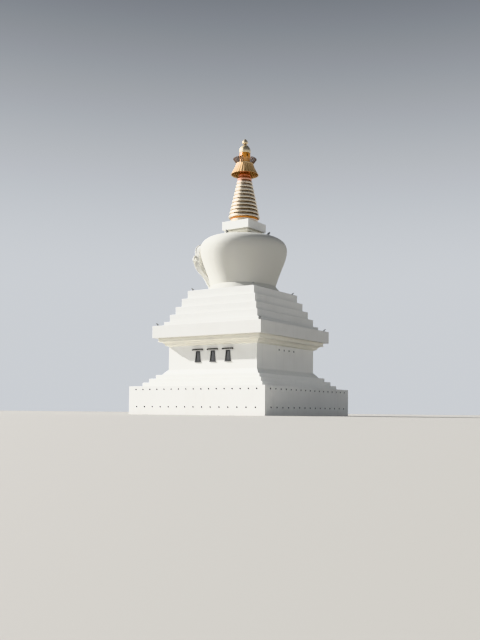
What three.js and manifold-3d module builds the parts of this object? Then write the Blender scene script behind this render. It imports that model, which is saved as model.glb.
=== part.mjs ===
// A white plastered stupa with a gilded spire, 33 m from the ground to its tip.
// Millimetres, +Z up. The origin is the middle of the square base at ground level,
// and the face with the three windows looks along -Y.
import * as THREE from "three";
import { mergeVertices } from "three/addons/utils/BufferGeometryUtils.js";
import Module from "manifold-3d";

const wasm = await Module();
wasm.setup();

// Square levels: half of the side, then the height of the top
const BASE = { half: 9250, top: 3150 };
const STEPS = [
  { name: "step_lower", half: 8190, top: 3590 },
  { name: "step_middle", half: 7670, top: 4060 },
  { name: "step_upper", half: 7130, top: 4500 },
];
const TERRACES = [
  { name: "terrace_1", half: 6540, top: 10650 },
  { name: "terrace_2", half: 6080, top: 11530 },
  { name: "terrace_3", half: 5620, top: 12450 },
  { name: "terrace_4", half: 5130, top: 13440 },
  { name: "terrace_5", half: 4650, top: 14410 },
];

// The hall storey and the cornice over it
const HALL_HALF = 6100;
const WALL_THICKNESS = 520;
const WALL_LOW = 5150;
const WALL_HIGH = 7830;
const FLOOR_THICKNESS = 200;
const BASE_MOULDING_HALF = 6600;
const FASCIA_HALF = 7010;
const FASCIA_HIGH = 8770;
const CORNICE_HALF = 7480;
const CORNICE_HIGH = 10150;

// The windows of the front and back walls, narrower at the head than at the sill
const WINDOW_SPACING = 2080;
const WINDOW_OFFSET = 200; // from the middle of the wall to the middle window
const WINDOW_SILL = 5990;
const WINDOW_HEAD = 7170;
const WINDOW_SILL_WIDTH = 810;
const WINDOW_HEAD_WIDTH = 550;
const WINDOW_RAIL = 95;
const WINDOW_DEPTH = 260;
const WINDOW_PROUD = 30;
const PANE_THICKNESS = 30;
const SILL = { width: 860, low: 5910, high: 6010, reach: 170 };
const HOOD = { width: 1400, low: 7250, back: 190, front: 100, reach: 230 };

// The four square air holes high in each side wall
const AIR_HOLE = { size: 190, spacing: 1070, height: 7380 };

// The vase, its foot, and the niche on its -X side
const VASE_FOOT_RADIUS = 4400;
const VASE_LOW = 15150;
const VASE_LOW_RADIUS = 3800;
const VASE_HIGH = 21240;
const VASE_FLAT_RADIUS = 2060;
const NICHE_REACH = 6240;
const NICHE_FOOT_REACH = 4680;
const NICHE_HIGH = 20950;
const NICHE_LOW = VASE_LOW;
const NICHE_TAPER_HIGH = 17900; // under this height the niche narrows and leans in
const NICHE_PLATE = 240; // thickness of the lobed front plate
const NICHE_BACK_REACH = 3100; // where the body behind the plate ends, inside the vase
const NICHE_BACK_SHARE = 0.2; // width of the body there, as a share of its width at the plate
const RECESS = { radius: 700, low: 18150, spring: 19250, depth: 1000 };

// The square harmika and the round spire
const HARMIKA_NECK_HALF = 1440;
const HARMIKA_BAND = { half: 1650, low: 21440, high: 21620 };
const HARMIKA_HALF = 1860;
const HARMIKA_LOW = 21800;
const HARMIKA_HIGH = 22770;
const SPIRE_BASE_RADIUS = 1620;
const SPIRE_BASE_HIGH = 23290;
const RING_COUNT = 13;
const RING_PITCH = 457;
const RING_LOW = 23330;
const RING_RADIUS = 1850;
const RING_TAPER = 101;
const RING_GROOVE = 190;
const PARASOL_RIM_RADIUS = 1660;
const PARASOL_RIM = 28600;
const PARASOL_TOP = 29900;
const PARASOL_TOP_RADIUS = 970;
const CROWN_RIM = 30500;
const CROWN_RIM_RADIUS = 1400;
const CROWN_PLATE = 60;
// A gap between the wings, in degrees: from +X to its middle, and half of its sweep
const WING_GAP = { turn: -44, half: 20 };
const DRUM_HIGH = 31230;
const ORB_HIGH = 32220;
const TIP = 33000;

// The floodlights. tip is how far the head leans back from upright, in radians
const LAMP = { foot: 90, post: 50, stand: 210, width: 260, height: 370, depth: 90, tip: 0.95 };
const LAMP_INSET = 400;
const SHOULDER_LAMP = { radius: 3500, height: 20970, stem: 200 };

const GAP = 0.3; // left where one piece is cut to a curved neighbour
const ROUND_SIDES = 64;
const SPIRE_SIDES = 32;
const CROWN_SIDES = 40;

const PLASTER = { color: 0xf2f1ec, roughness: 0.85, metalness: 0 };
const GOLD = { color: 0xc9992e, roughness: 0.35, metalness: 1 };
const CHARCOAL = { color: 0x2f3033, roughness: 0.6, metalness: 0 };
const PANE = { color: 0x8d99a3, roughness: 0.1, metalness: 0 };
const LAMP_GREY = { color: 0x3c4044, roughness: 0.5, metalness: 0.4 };

const stupa = new THREE.Group();

function addPiece(name, geometry, look) {
  const mesh = new THREE.Mesh(geometry, new THREE.MeshStandardMaterial(look));
  mesh.name = name;
  stupa.add(mesh);
  return mesh;
}

// Booleans

function toSolid(geometry) {
  const bare = geometry.clone();
  bare.deleteAttribute("normal");
  bare.deleteAttribute("uv");
  const merged = mergeVertices(bare, 1e-3);
  return new wasm.Manifold(
    new wasm.Mesh({
      numProp: 3,
      vertProperties: merged.attributes.position.array,
      triVerts: new Uint32Array(merged.index.array),
    }),
  );
}

function toGeometry(solid) {
  const mesh = solid.getMesh();
  const geometry = new THREE.BufferGeometry();
  geometry.setAttribute("position", new THREE.BufferAttribute(mesh.vertProperties, 3));
  geometry.setIndex(new THREE.BufferAttribute(mesh.triVerts, 1));
  geometry.computeVertexNormals();
  return geometry;
}

function join(...geometries) {
  return toGeometry(geometries.map(toSolid).reduce((a, b) => a.add(b)));
}

function cut(geometry, ...cutters) {
  return toGeometry(cutters.map(toSolid).reduce((a, b) => a.subtract(b), toSolid(geometry)));
}

// Basic shapes

// A box between two corners
function block(low, high) {
  const size = high.map((v, i) => v - low[i]);
  const geometry = new THREE.BoxGeometry(...size);
  return geometry.translate(...low.map((v, i) => v + size[i] / 2));
}

function slab(half, low, high) {
  return block([-half, -half, low], [half, half, high]);
}

// A profile of [radius, height] pairs turned about Z
function turned(profile, sides) {
  const points = profile.map(([radius, height]) => new THREE.Vector2(radius, height));
  return new THREE.LatheGeometry(points, sides).rotateX(Math.PI / 2);
}

// A profile of [half side, height] pairs run round a square
function squareRun(profile) {
  const diagonal = profile.map(([half, height]) => [half * Math.SQRT2, height]);
  return turned(diagonal, 4).rotateZ(Math.PI / 4);
}

function shapeOf(points) {
  return new THREE.Shape(points.map(([x, y]) => new THREE.Vector2(x, y)));
}

// A shape drawn in X and Z, from y = from to y = to
function upright(shape, from, to) {
  const geometry = new THREE.ExtrudeGeometry(shape, {
    depth: to - from,
    bevelEnabled: false,
  });
  return geometry.rotateX(Math.PI / 2).translate(0, to, 0);
}

// Points along a quadratic curve
function bend(from, control, to, count) {
  const curve = new THREE.QuadraticBezierCurve(
    new THREE.Vector2(...from),
    new THREE.Vector2(...control),
    new THREE.Vector2(...to),
  );
  return curve.getPoints(count).map((p) => [p.x, p.y]);
}

// The base and its steps

function addBase() {
  addPiece("base_terrace", slab(BASE.half, 0, BASE.top), PLASTER);
  let low = BASE.top;
  for (const step of STEPS) {
    addPiece(step.name, slab(step.half, low, step.top), PLASTER);
    low = step.top;
  }
}

// The hall: floor, splayed moulding at the foot of the walls, and four walls

const hallInside = HALL_HALF - WALL_THICKNESS;
const hallFloorLow = STEPS[2].top;

function addHallFloor() {
  const high = hallFloorLow + FLOOR_THICKNESS;
  addPiece("hall_floor", slab(hallInside, hallFloorLow, high), PLASTER);
  const splay = bend(
    [BASE_MOULDING_HALF, hallFloorLow + 60],
    [6400, 4950],
    [HALL_HALF, WALL_LOW],
    4,
  );
  const profile = [
    [hallInside, hallFloorLow],
    [BASE_MOULDING_HALF, hallFloorLow],
    ...splay,
    [hallInside, WALL_LOW],
    [hallInside, hallFloorLow],
  ];
  addPiece("wall_base_moulding", squareRun(profile), PLASTER);
}

function trapezoid(centre, margin) {
  const sill = WINDOW_SILL_WIDTH / 2 - margin;
  const head = WINDOW_HEAD_WIDTH / 2 - margin;
  return [
    [centre - sill, WINDOW_SILL + margin],
    [centre + sill, WINDOW_SILL + margin],
    [centre + head, WINDOW_HEAD - margin],
    [centre - head, WINDOW_HEAD - margin],
  ];
}

// A prism that passes right through the front wall
function throughWall(points) {
  return upright(shapeOf(points), -HALL_HALF - 100, -hallInside + 100);
}

const windowPlaces = [
  { side: "left", centre: WINDOW_OFFSET - WINDOW_SPACING },
  { side: "middle", centre: WINDOW_OFFSET },
  { side: "right", centre: WINDOW_OFFSET + WINDOW_SPACING },
];

function windowWall() {
  const wall = block([-HALL_HALF, -HALL_HALF, WALL_LOW], [HALL_HALF, -hallInside, WALL_HIGH]);
  const holes = windowPlaces.map(({ centre }) => throughWall(trapezoid(centre, -GAP)));
  return cut(wall, ...holes);
}

function airHoleWall() {
  const wall = block([-hallInside, -HALL_HALF, WALL_LOW], [hallInside, -hallInside, WALL_HIGH]);
  const reach = AIR_HOLE.size / 2;
  const holes = [-1.5, -0.5, 0.5, 1.5].map((n) => {
    const centre = n * AIR_HOLE.spacing;
    return throughWall([
      [centre - reach, AIR_HOLE.height - reach],
      [centre + reach, AIR_HOLE.height - reach],
      [centre + reach, AIR_HOLE.height + reach],
      [centre - reach, AIR_HOLE.height + reach],
    ]);
  });
  return cut(wall, ...holes);
}

function addWalls() {
  addPiece("front_wall", windowWall(), PLASTER);
  addPiece("back_wall", windowWall().rotateZ(Math.PI), PLASTER);
  addPiece("right_wall", airHoleWall().rotateZ(Math.PI / 2), PLASTER);
  addPiece("left_wall", airHoleWall().rotateZ(-Math.PI / 2), PLASTER);
}

// Windows: a charcoal surround with a sill, a fixed pane in it, a small hood over it

function windowSurround(centre) {
  const face = shapeOf(trapezoid(centre, 0));
  face.holes = [shapeOf(trapezoid(centre, WINDOW_RAIL))];
  const front = -HALL_HALF - WINDOW_PROUD;
  const sill = block(
    [centre - SILL.width / 2, -HALL_HALF - SILL.reach, SILL.low],
    [centre + SILL.width / 2, -HALL_HALF - GAP, SILL.high],
  );
  return join(upright(face, front, front + WINDOW_DEPTH), sill);
}

function windowPane(centre) {
  const front = -HALL_HALF + WINDOW_DEPTH / 2;
  return upright(
    shapeOf(trapezoid(centre, WINDOW_RAIL + GAP)),
    front,
    front + PANE_THICKNESS,
  );
}

function windowHood(centre) {
  const wallFace = -HALL_HALF - GAP;
  const side = shapeOf([
    [wallFace, HOOD.low],
    [wallFace, HOOD.low + HOOD.back],
    [wallFace - HOOD.reach, HOOD.low + HOOD.front],
    [wallFace - HOOD.reach, HOOD.low],
  ]);
  const geometry = new THREE.ExtrudeGeometry(side, {
    depth: HOOD.width,
    bevelEnabled: false,
  });
  geometry.rotateX(Math.PI / 2);
  geometry.rotateZ(Math.PI / 2);
  return geometry.translate(centre - HOOD.width / 2, 0, 0);
}

function addWindows() {
  for (const [wall, turn] of [
    ["front", 0],
    ["back", Math.PI],
  ]) {
    for (const { side, centre } of windowPlaces) {
      const end = wall + "_" + side;
      addPiece("window_surround_" + end, windowSurround(centre).rotateZ(turn), CHARCOAL);
      addPiece("window_pane_" + end, windowPane(centre).rotateZ(turn), PANE);
      addPiece("window_hood_" + end, windowHood(centre).rotateZ(turn), CHARCOAL);
    }
  }
}

// The cornice and the five terraces

function addCornice() {
  const profile = [
    [0, WALL_HIGH],
    [HALL_HALF, WALL_HIGH],
    [6440, 7950],
    ...bend([6460, 8110], [6510, 8320], [6860, 8330], 3),
    [FASCIA_HALF, 8330],
    [FASCIA_HALF, FASCIA_HIGH],
    [0, FASCIA_HIGH],
  ];
  addPiece("cornice_moulding", squareRun(profile), PLASTER);
  addPiece("cornice_slab", slab(CORNICE_HALF, FASCIA_HIGH, CORNICE_HIGH), PLASTER);
}

function addTerraces() {
  let low = CORNICE_HIGH;
  for (const terrace of TERRACES) {
    addPiece(terrace.name, slab(terrace.half, low, terrace.top), PLASTER);
    low = terrace.top;
  }
}

// The vase

const vaseFootLow = TERRACES[4].top;

const vaseOutside = [
  [VASE_LOW_RADIUS, VASE_LOW],
  [4120, 16200],
  [4430, 17020],
  [4820, 18050],
  [5030, 18750],
  [5110, 19200],
  [5115, 19620],
  [5010, 20020],
  [4760, 20390],
  [4400, 20650],
  [3950, 20840],
  [3300, 20985],
  [2600, 21140],
  [VASE_FLAT_RADIUS, VASE_HIGH],
];

// The vase, grown all over by a small gap where a neighbour is cut to it
function vaseBody(grow) {
  const grown = vaseOutside.map(([radius, height]) => [radius + grow, height + grow]);
  const low = [VASE_LOW_RADIUS + grow, VASE_LOW - grow];
  const start = grow > 0 ? [low] : [];
  return turned([[0, VASE_LOW - grow], ...start, ...grown, [0, VASE_HIGH + grow]], ROUND_SIDES);
}

function addVase() {
  const foot = [
    [0, vaseFootLow],
    [VASE_FOOT_RADIUS, vaseFootLow],
    ...bend([VASE_FOOT_RADIUS, vaseFootLow + 90], [4060, 14880], [3840, VASE_LOW], 4),
    [0, VASE_LOW],
  ];
  addPiece("vase_foot", turned(foot, ROUND_SIDES), PLASTER);
  addPiece("vase", vaseBody(0), PLASTER);
}

// The niche: a lobed plate that leans in below with the vase, a plain body behind it that
// narrows towards the vase, and an arched recess

const nichePlateSide = [
  [0, NICHE_HIGH],
  [-460, 20840],
  [-820, 20760],
  [-1190, 20470],
  [-1360, 20180],
  [-1430, 19750],
  [-1390, 19430],
  [-1340, 19330],
  [-1600, 19250],
  [-1770, 18980],
  [-1790, 18550],
  [-1630, 18260],
  [-1420, NICHE_TAPER_HIGH],
  [-1340, 17600],
  [-1140, 17200],
  [-820, 16880],
  [-660, 16600],
  [-580, 16200],
  [-440, NICHE_LOW],
];
const nicheBodySide = [
  [0, 20780],
  [-420, 20680],
  [-780, 20590],
  [-1080, 20330],
  [-1240, 20080],
  [-1290, 19700],
  [-1290, 18200],
  [-1240, 17600],
  [-1020, 17180],
  [-720, 16860],
  [-560, 16600],
  [-480, 16200],
  [-350, NICHE_LOW],
];

// One side of an outline and its mirror image, drawn across the niche, between two reaches
function acrossNiche(side, front, back) {
  const mirrored = side.slice(1).map(([y, z]) => [-y, z]);
  const outline = shapeOf([...side, ...mirrored.reverse()]);
  return upright(outline, -front, -back).rotateZ(-Math.PI / 2);
}

// What lies behind the niche's leaning face, or behind that face moved in
function behindFace(inset) {
  const beyond = 200;
  const sideView = shapeOf([
    [-NICHE_BACK_REACH, NICHE_LOW],
    [inset - NICHE_FOOT_REACH, NICHE_LOW],
    [inset - NICHE_REACH, NICHE_TAPER_HIGH],
    [inset - NICHE_REACH, NICHE_HIGH + beyond],
    [-NICHE_BACK_REACH, NICHE_HIGH + beyond],
  ]);
  return toSolid(upright(sideView, -2000, 2000));
}

function nichePlate() {
  const outline = toSolid(acrossNiche(nichePlateSide, NICHE_REACH + 200, NICHE_BACK_REACH));
  return outline.intersect(behindFace(0)).subtract(behindFace(NICHE_PLATE));
}

function nicheBody() {
  const front = NICHE_REACH - NICHE_PLATE / 2;
  const middle = (front + NICHE_BACK_REACH) / 2;
  const geometry = acrossNiche(nicheBodySide, front, NICHE_BACK_REACH);
  const corners = geometry.attributes.position;
  for (let i = 0; i < corners.count; i += 1) {
    if (corners.getX(i) > -middle) {
      corners.setY(i, corners.getY(i) * NICHE_BACK_SHARE);
    }
  }
  return toSolid(geometry).intersect(behindFace(NICHE_PLATE / 2));
}

function nicheRecess() {
  const { radius, low, spring, depth } = RECESS;
  const arch = new THREE.Shape();
  arch.moveTo(-radius, low);
  arch.lineTo(radius, low);
  arch.lineTo(radius, spring);
  arch.absarc(0, spring, radius, 0, Math.PI, false);
  const prism = new THREE.ExtrudeGeometry(arch, {
    depth: depth + 100,
    bevelEnabled: false,
    curveSegments: 8,
  });
  prism.rotateX(Math.PI / 2).rotateZ(-Math.PI / 2);
  return prism.translate(-NICHE_REACH + depth, 0, 0);
}

function addNiche() {
  const block = toGeometry(nichePlate().add(nicheBody()));
  addPiece("niche", cut(block, nicheRecess(), vaseBody(GAP)), PLASTER);
}

// The harmika and the spire

// The block stands on a recessed neck with a square band round it
function addHarmika() {
  const { half, low, high } = HARMIKA_BAND;
  const neck = [
    [0, VASE_HIGH],
    [HARMIKA_NECK_HALF, VASE_HIGH],
    [HARMIKA_NECK_HALF, low - 20],
    [half, low],
    [half, high],
    [HARMIKA_NECK_HALF, high + 20],
    [HARMIKA_NECK_HALF, HARMIKA_LOW],
    [0, HARMIKA_LOW],
  ];
  addPiece("harmika_neck", squareRun(neck), PLASTER);
  addPiece("harmika_block", slab(HARMIKA_HALF, HARMIKA_LOW, HARMIKA_HIGH), PLASTER);
}

function addSpireBase() {
  const profile = [
    [0, HARMIKA_HIGH],
    [SPIRE_BASE_RADIUS - 40, HARMIKA_HIGH],
    [SPIRE_BASE_RADIUS + 40, HARMIKA_HIGH + 90],
    [SPIRE_BASE_RADIUS - 20, HARMIKA_HIGH + 190],
    [SPIRE_BASE_RADIUS, SPIRE_BASE_HIGH],
    [0, SPIRE_BASE_HIGH],
  ];
  addPiece("spire_base", turned(profile, SPIRE_SIDES), GOLD);
}

// One stack of rings, each an overhanging dish that tapers up to the groove over it
function ringStack() {
  const profile = [[0, SPIRE_BASE_HIGH]];
  for (let n = 0; n < RING_COUNT; n += 1) {
    const radius = RING_RADIUS - n * RING_TAPER;
    const low = RING_LOW + n * RING_PITCH;
    profile.push([radius - RING_GROOVE, low - 40]);
    profile.push([radius - 30, low]);
    profile.push([radius, low + 90]);
    profile.push([radius - 50, low + 250]);
  }
  const lastRadius = RING_RADIUS - RING_COUNT * RING_TAPER;
  const lastHigh = RING_LOW + RING_COUNT * RING_PITCH;
  profile.push([lastRadius - 60, lastHigh]);
  profile.push([lastRadius - 60, PARASOL_TOP - 60]);
  profile.push([0, PARASOL_TOP - 60]);
  return turned(profile, SPIRE_SIDES);
}

// The hollow parasol, open below, with the spire standing up inside it
function parasolShell() {
  const outside = [
    [PARASOL_RIM_RADIUS, PARASOL_RIM],
    [1440, 28970],
    [1290, 29230],
    [1130, 29540],
    [990, 29820],
    [PARASOL_TOP_RADIUS, PARASOL_TOP],
  ];
  const inside = [
    [0, PARASOL_TOP - 60],
    [880, PARASOL_TOP - 60],
    [930, 29750],
    [1075, 29500],
    [1235, 29200],
    [1380, 28940],
    [1595, PARASOL_RIM],
  ];
  return turned([...inside, ...outside, [0, PARASOL_TOP]], SPIRE_SIDES);
}

const crownPlateHigh = PARASOL_TOP + CROWN_PLATE;

// A wedge over the crown's plate that cuts one gap between the wings
function wingGap(turn) {
  const reach = 2 * CROWN_RIM_RADIUS;
  const half = THREE.MathUtils.degToRad(WING_GAP.half);
  const along = reach * Math.cos(half);
  const across = reach * Math.sin(half);
  const wedge = shapeOf([
    [0, 0],
    [along, -across],
    [along, across],
  ]);
  const depth = 2 * (CROWN_RIM - PARASOL_TOP);
  const prism = new THREE.ExtrudeGeometry(wedge, { depth, bevelEnabled: false });
  return prism.translate(0, 0, crownPlateHigh).rotateZ(THREE.MathUtils.degToRad(turn));
}

// Two upturned wings on a plate, with a gap between them at the front and the back
function crownWings() {
  const funnel = turned(
    [
      [0, PARASOL_TOP],
      [PARASOL_TOP_RADIUS, PARASOL_TOP],
      [CROWN_RIM_RADIUS, CROWN_RIM],
      [CROWN_RIM_RADIUS - 50, CROWN_RIM + 20],
      [PARASOL_TOP_RADIUS - 30, crownPlateHigh],
      [0, crownPlateHigh],
    ],
    CROWN_SIDES,
  );
  return cut(funnel, wingGap(WING_GAP.turn), wingGap(WING_GAP.turn + 180));
}

function addCrown() {
  addPiece("spire_rings", ringStack(), GOLD);
  addPiece("parasol", parasolShell(), GOLD);
  addPiece("crown_wings", crownWings(), GOLD);
  const drum = [
    [0, crownPlateHigh],
    [720, crownPlateHigh],
    [640, 30300],
    [600, 30760],
    [620, 30840],
    [600, DRUM_HIGH],
    [0, DRUM_HIGH],
  ];
  addPiece("crown_drum", turned(drum, SPIRE_SIDES), GOLD);
  const orb = [
    [0, DRUM_HIGH],
    [640, DRUM_HIGH],
    [668, 31290],
    [665, 31540],
    [595, 31785],
    [480, 31970],
    [340, 32120],
    [170, ORB_HIGH],
    [0, ORB_HIGH],
  ];
  addPiece("orb", turned(orb, SPIRE_SIDES), GOLD);
  const jewel = [
    [0, ORB_HIGH],
    [160, ORB_HIGH],
    [190, 32330],
    [310, 32430],
    [345, 32530],
    [228, 32760],
    [0, TIP],
  ];
  addPiece("jewel", turned(jewel, SPIRE_SIDES), GOLD);
}

// Lamps: a foot, a post and a head tipped back so that it shines up at the spire

function lampFoot(low, high) {
  return block([-LAMP.foot, -LAMP.foot * 0.7, low], [LAMP.foot, LAMP.foot * 0.7, high]);
}

function lampGeometry() {
  const post = slab(LAMP.post / 2, 10, LAMP.stand);
  const head = new THREE.BoxGeometry(LAMP.width, LAMP.depth, LAMP.height);
  head.rotateX(LAMP.tip).translate(0, 0, LAMP.stand);
  return join(lampFoot(0, 30), post, head);
}

// A lamp that looks towards the axis of the spire
function addLamp(name, x, y, height) {
  const lamp = addPiece(name, lampGeometry(), LAMP_GREY);
  lamp.position.set(x, y, height);
  lamp.rotation.z = Math.atan2(-y, -x) - Math.PI / 2;
}

// A lamp whose foot is cut to the shoulder of the vase that it stands on
function addShoulderLamp(side, turn) {
  const lamp = join(lampGeometry(), lampFoot(-SHOULDER_LAMP.stem, 10));
  const { radius, height } = SHOULDER_LAMP;
  const placed = lamp.translate(0, -radius, height).rotateZ(turn);
  addPiece("lamp_vase_" + side, cut(placed, vaseBody(GAP)), LAMP_GREY);
}

function addLamps() {
  for (const [level, half, height] of [
    ["cornice", CORNICE_HALF, CORNICE_HIGH],
    ["terrace", TERRACES[4].half, TERRACES[4].top],
  ]) {
    const place = half - LAMP_INSET;
    addLamp("lamp_" + level + "_front_left", -place, -place, height);
    addLamp("lamp_" + level + "_front_right", place, -place, height);
    addLamp("lamp_" + level + "_back_right", place, place, height);
    addLamp("lamp_" + level + "_back_left", -place, place, height);
  }
  ["front", "right", "back", "left"].forEach((side, n) => {
    addShoulderLamp(side, (n * Math.PI) / 2);
  });
}

addBase();
addHallFloor();
addWalls();
addWindows();
addCornice();
addTerraces();
addVase();
addNiche();
addHarmika();
addSpireBase();
addCrown();
addLamps();

export default stupa;
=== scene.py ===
"""A white plastered stupa with a gilded spire: its outer surfaces, built round its frame.

Metres, +Z up. The face with the three windows looks along -Y, and the niche is on the -X side.
"""

import math

import bmesh
import bpy
from mathutils import Matrix, Vector


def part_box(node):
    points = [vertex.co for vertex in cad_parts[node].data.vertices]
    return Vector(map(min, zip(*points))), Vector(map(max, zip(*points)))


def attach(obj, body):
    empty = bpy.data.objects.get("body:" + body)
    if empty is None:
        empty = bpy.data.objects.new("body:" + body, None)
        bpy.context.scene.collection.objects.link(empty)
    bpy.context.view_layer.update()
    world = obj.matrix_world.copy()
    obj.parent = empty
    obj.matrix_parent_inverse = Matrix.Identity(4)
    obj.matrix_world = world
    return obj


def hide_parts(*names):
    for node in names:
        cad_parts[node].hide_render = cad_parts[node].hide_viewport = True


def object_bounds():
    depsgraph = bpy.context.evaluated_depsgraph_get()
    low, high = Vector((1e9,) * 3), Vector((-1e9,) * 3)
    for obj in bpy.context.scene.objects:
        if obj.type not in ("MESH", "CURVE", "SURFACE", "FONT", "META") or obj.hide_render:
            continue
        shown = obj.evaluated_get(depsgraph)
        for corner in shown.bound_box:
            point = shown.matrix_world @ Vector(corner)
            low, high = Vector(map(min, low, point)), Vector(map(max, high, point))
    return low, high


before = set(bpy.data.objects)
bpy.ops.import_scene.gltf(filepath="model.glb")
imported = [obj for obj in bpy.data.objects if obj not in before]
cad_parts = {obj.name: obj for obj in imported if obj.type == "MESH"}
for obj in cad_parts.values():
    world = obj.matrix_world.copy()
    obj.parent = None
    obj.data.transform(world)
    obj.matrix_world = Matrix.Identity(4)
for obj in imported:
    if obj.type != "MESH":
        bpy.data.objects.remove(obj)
CAD_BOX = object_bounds()

bl_info = {
    "name": "Gilded stupa",
    "version": (1, 0, 0),
    "blender": (4, 5, 0),
    "location": "3D View > Sidebar > Stupa",
    "description": "Builds the plaster, windows, gilding and lamps of a stupa round its frame",
    "category": "Object",
}

BODY = "root"
TOUCH = 1e-4
ROUND_SIDES = 160
SPIRE_SIDES = 96
PIPE_SIDES = 16
SQUARE = ((-1, -1), (1, -1), (1, 1), (-1, 1))
SWAP_XY = Matrix(((0, 1, 0, 0), (1, 0, 0, 0), (0, 0, 1, 0), (0, 0, 0, 1)))
PIPE_GREY = (0.10, 0.10, 0.105)
LAMP_GLASS = (0.20, 0.22, 0.24)

# The camera of the photograph: where it stands from the stupa's axis, how it is turned, and its
# focal length and picture centre in pixels of the photograph
PHOTO_WIDTH = 480
PHOTO_HEIGHT = 640
FOCAL_PIXELS = 781.2
CENTRE_PIXELS = (280.0, 380.0)
CAMERA_AZIMUTH = 34.805
CAMERA_DISTANCE = 92.228
CAMERA_HEIGHT = 0.3
CAMERA_YAW = -2.765
CAMERA_PITCH = 2.413
CAMERA_ROLL = 0.570
SENSOR_WIDTH = 36.0

# The base's weep pipes: how many in each row, how deep they go in and how thick they are
WEEP_COUNTS = (17, 15)
WEEP_DEPTH = 0.32
PIPE_WALL = 0.012
PIPE_PROUD = 0.02

# The hall's walls, their windows as half widths and heights, and how far the middle window is
# from the wall's middle
WALL_THICKNESS = 0.52
WINDOW_FOOT_HALF = 0.405
WINDOW_HEAD_HALF = 0.275
WINDOW_FOOT = 5.99
WINDOW_HEAD = 7.17
WINDOW_RAIL = 0.095
WINDOW_SPACING = 2.08
WINDOW_OFFSET = 0.20

# The air holes high in each side wall
VENT_HALF = 0.092
VENT_BORE_SHARE = 0.85
VENT_DEPTH = 0.16
VENT_BACK = 0.02
VENT_SPACING = 1.07
VENT_HEIGHT = 7.38

# The niche: one side of its front plate as (distance from the middle, height) pairs, in two lobes
# and a taper, and one side of the plain body behind it
NICHE_MIDDLE = 18.8
NICHE_TAPER_HIGH = 17.90
NICHE_FOOT_REACH = 4.68
NICHE_PLATE = 0.12
NICHE_BACK_REACH = 3.10
NICHE_BACK_SHARE = 0.2
NICHE_NARROWING = ((0.06, 1.03), (0.40, 1.01), (0.62, 0.98), (0.70, 0.64))
VOLUTE = {"out": 1.50, "height": 18.78, "radius": 0.22, "roll": 0.085, "eye": 0.12}
UPPER_LOBE = (
    (0.0, 20.95), (0.46, 20.80), (0.82, 20.64), (1.17, 20.38), (1.36, 20.12), (1.43, 19.75),
    (1.39, 19.43), (1.34, 19.33),
)
LOWER_LOBE = (
    (1.34, 19.33), (1.60, 19.25), (1.77, 18.98), (1.79, 18.55), (1.63, 18.26),
    (1.42, NICHE_TAPER_HIGH),
)
NICHE_TAPER = (
    (1.42, NICHE_TAPER_HIGH), (1.34, 17.60), (1.14, 17.20), (0.82, 16.88), (0.66, 16.60),
    (0.58, 16.20), (0.44, 15.15),
)
NICHE_SIDE = (
    (0.0, 20.88), (0.44, 20.73), (0.79, 20.57), (1.12, 20.32), (1.30, 20.08), (1.37, 19.72),
    (1.34, 18.20), (1.31, NICHE_TAPER_HIGH), (1.25, 17.60), (1.03, 17.18), (0.73, 16.86),
    (0.56, 16.60), (0.48, 16.20), (0.35, 15.15),
)
RECESS_HALF = 0.70
RECESS_FOOT = 18.15
RECESS_SPRING = 19.25
RECESS_DEPTH = 1.0

# The crown's two wings: the direction of the middle of one gap between them, from +X, how far
# round the spire each wing goes, the radius of its foot and half a hole's share of a cell
WING_GAP_TURN = math.radians(-44)
WING_SWEEP = math.radians(140) - 0.05
WING_FOOT_RADIUS = 1.03
LATTICE_HOLE = 0.26

# The parasol under them: how fast it narrows towards its head, its wall and its flutes' depth
PARASOL_FLARE = 1.35
PARASOL_WALL = 0.045
FLUTE_DEPTH = 0.022

# The floodlights: how far in from a corner they stand, the ones on the vase's shoulder, how far
# back a head is tipped, and its height over the ledge and half sizes
LAMP_INSET = 0.40
SHOULDER_LAMP_RADIUS = 3.50
SHOULDER_LAMP_HEIGHT = 20.97
LAMP_TIP = 0.95
LAMP_STAND = 0.21
LAMP_HALF_WIDTH = 0.13
LAMP_HALF_HEIGHT = 0.185
LAMP_HALF_DEPTH = 0.045
LAMP_RIM = 0.018

# The stage: azimuth and elevation of its two lights in degrees, how broad the second is, and
# between which heights of the view the backdrop goes from its pale to its deep colour
KEY_FROM = (-72.7, 30.6)
FILL_FROM = (-47.0, 10.0)
FILL_SOFTNESS = math.radians(50)
LIGHT_DISTANCE = 60
FLOOR_RADIUS = 600
HAZE_BAND = (0.15, 0.65)


def level(node):
    """Half the width of a node that is centred on the axis, and its lowest and highest height."""
    low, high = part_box(node)
    return high.x, low.z, high.z


def a_colour(name, description, *default):
    return bpy.props.FloatVectorProperty(
        name=name, description=description, subtype="COLOR", min=0, max=1, default=default
    )


def a_length(name, description, default, **limits):
    return bpy.props.FloatProperty(
        name=name, description=description, unit="LENGTH", default=default, **limits
    )


def a_count(name, description, default, low, high):
    return bpy.props.IntProperty(
        name=name, description=description, default=default, min=low, max=high
    )


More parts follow.
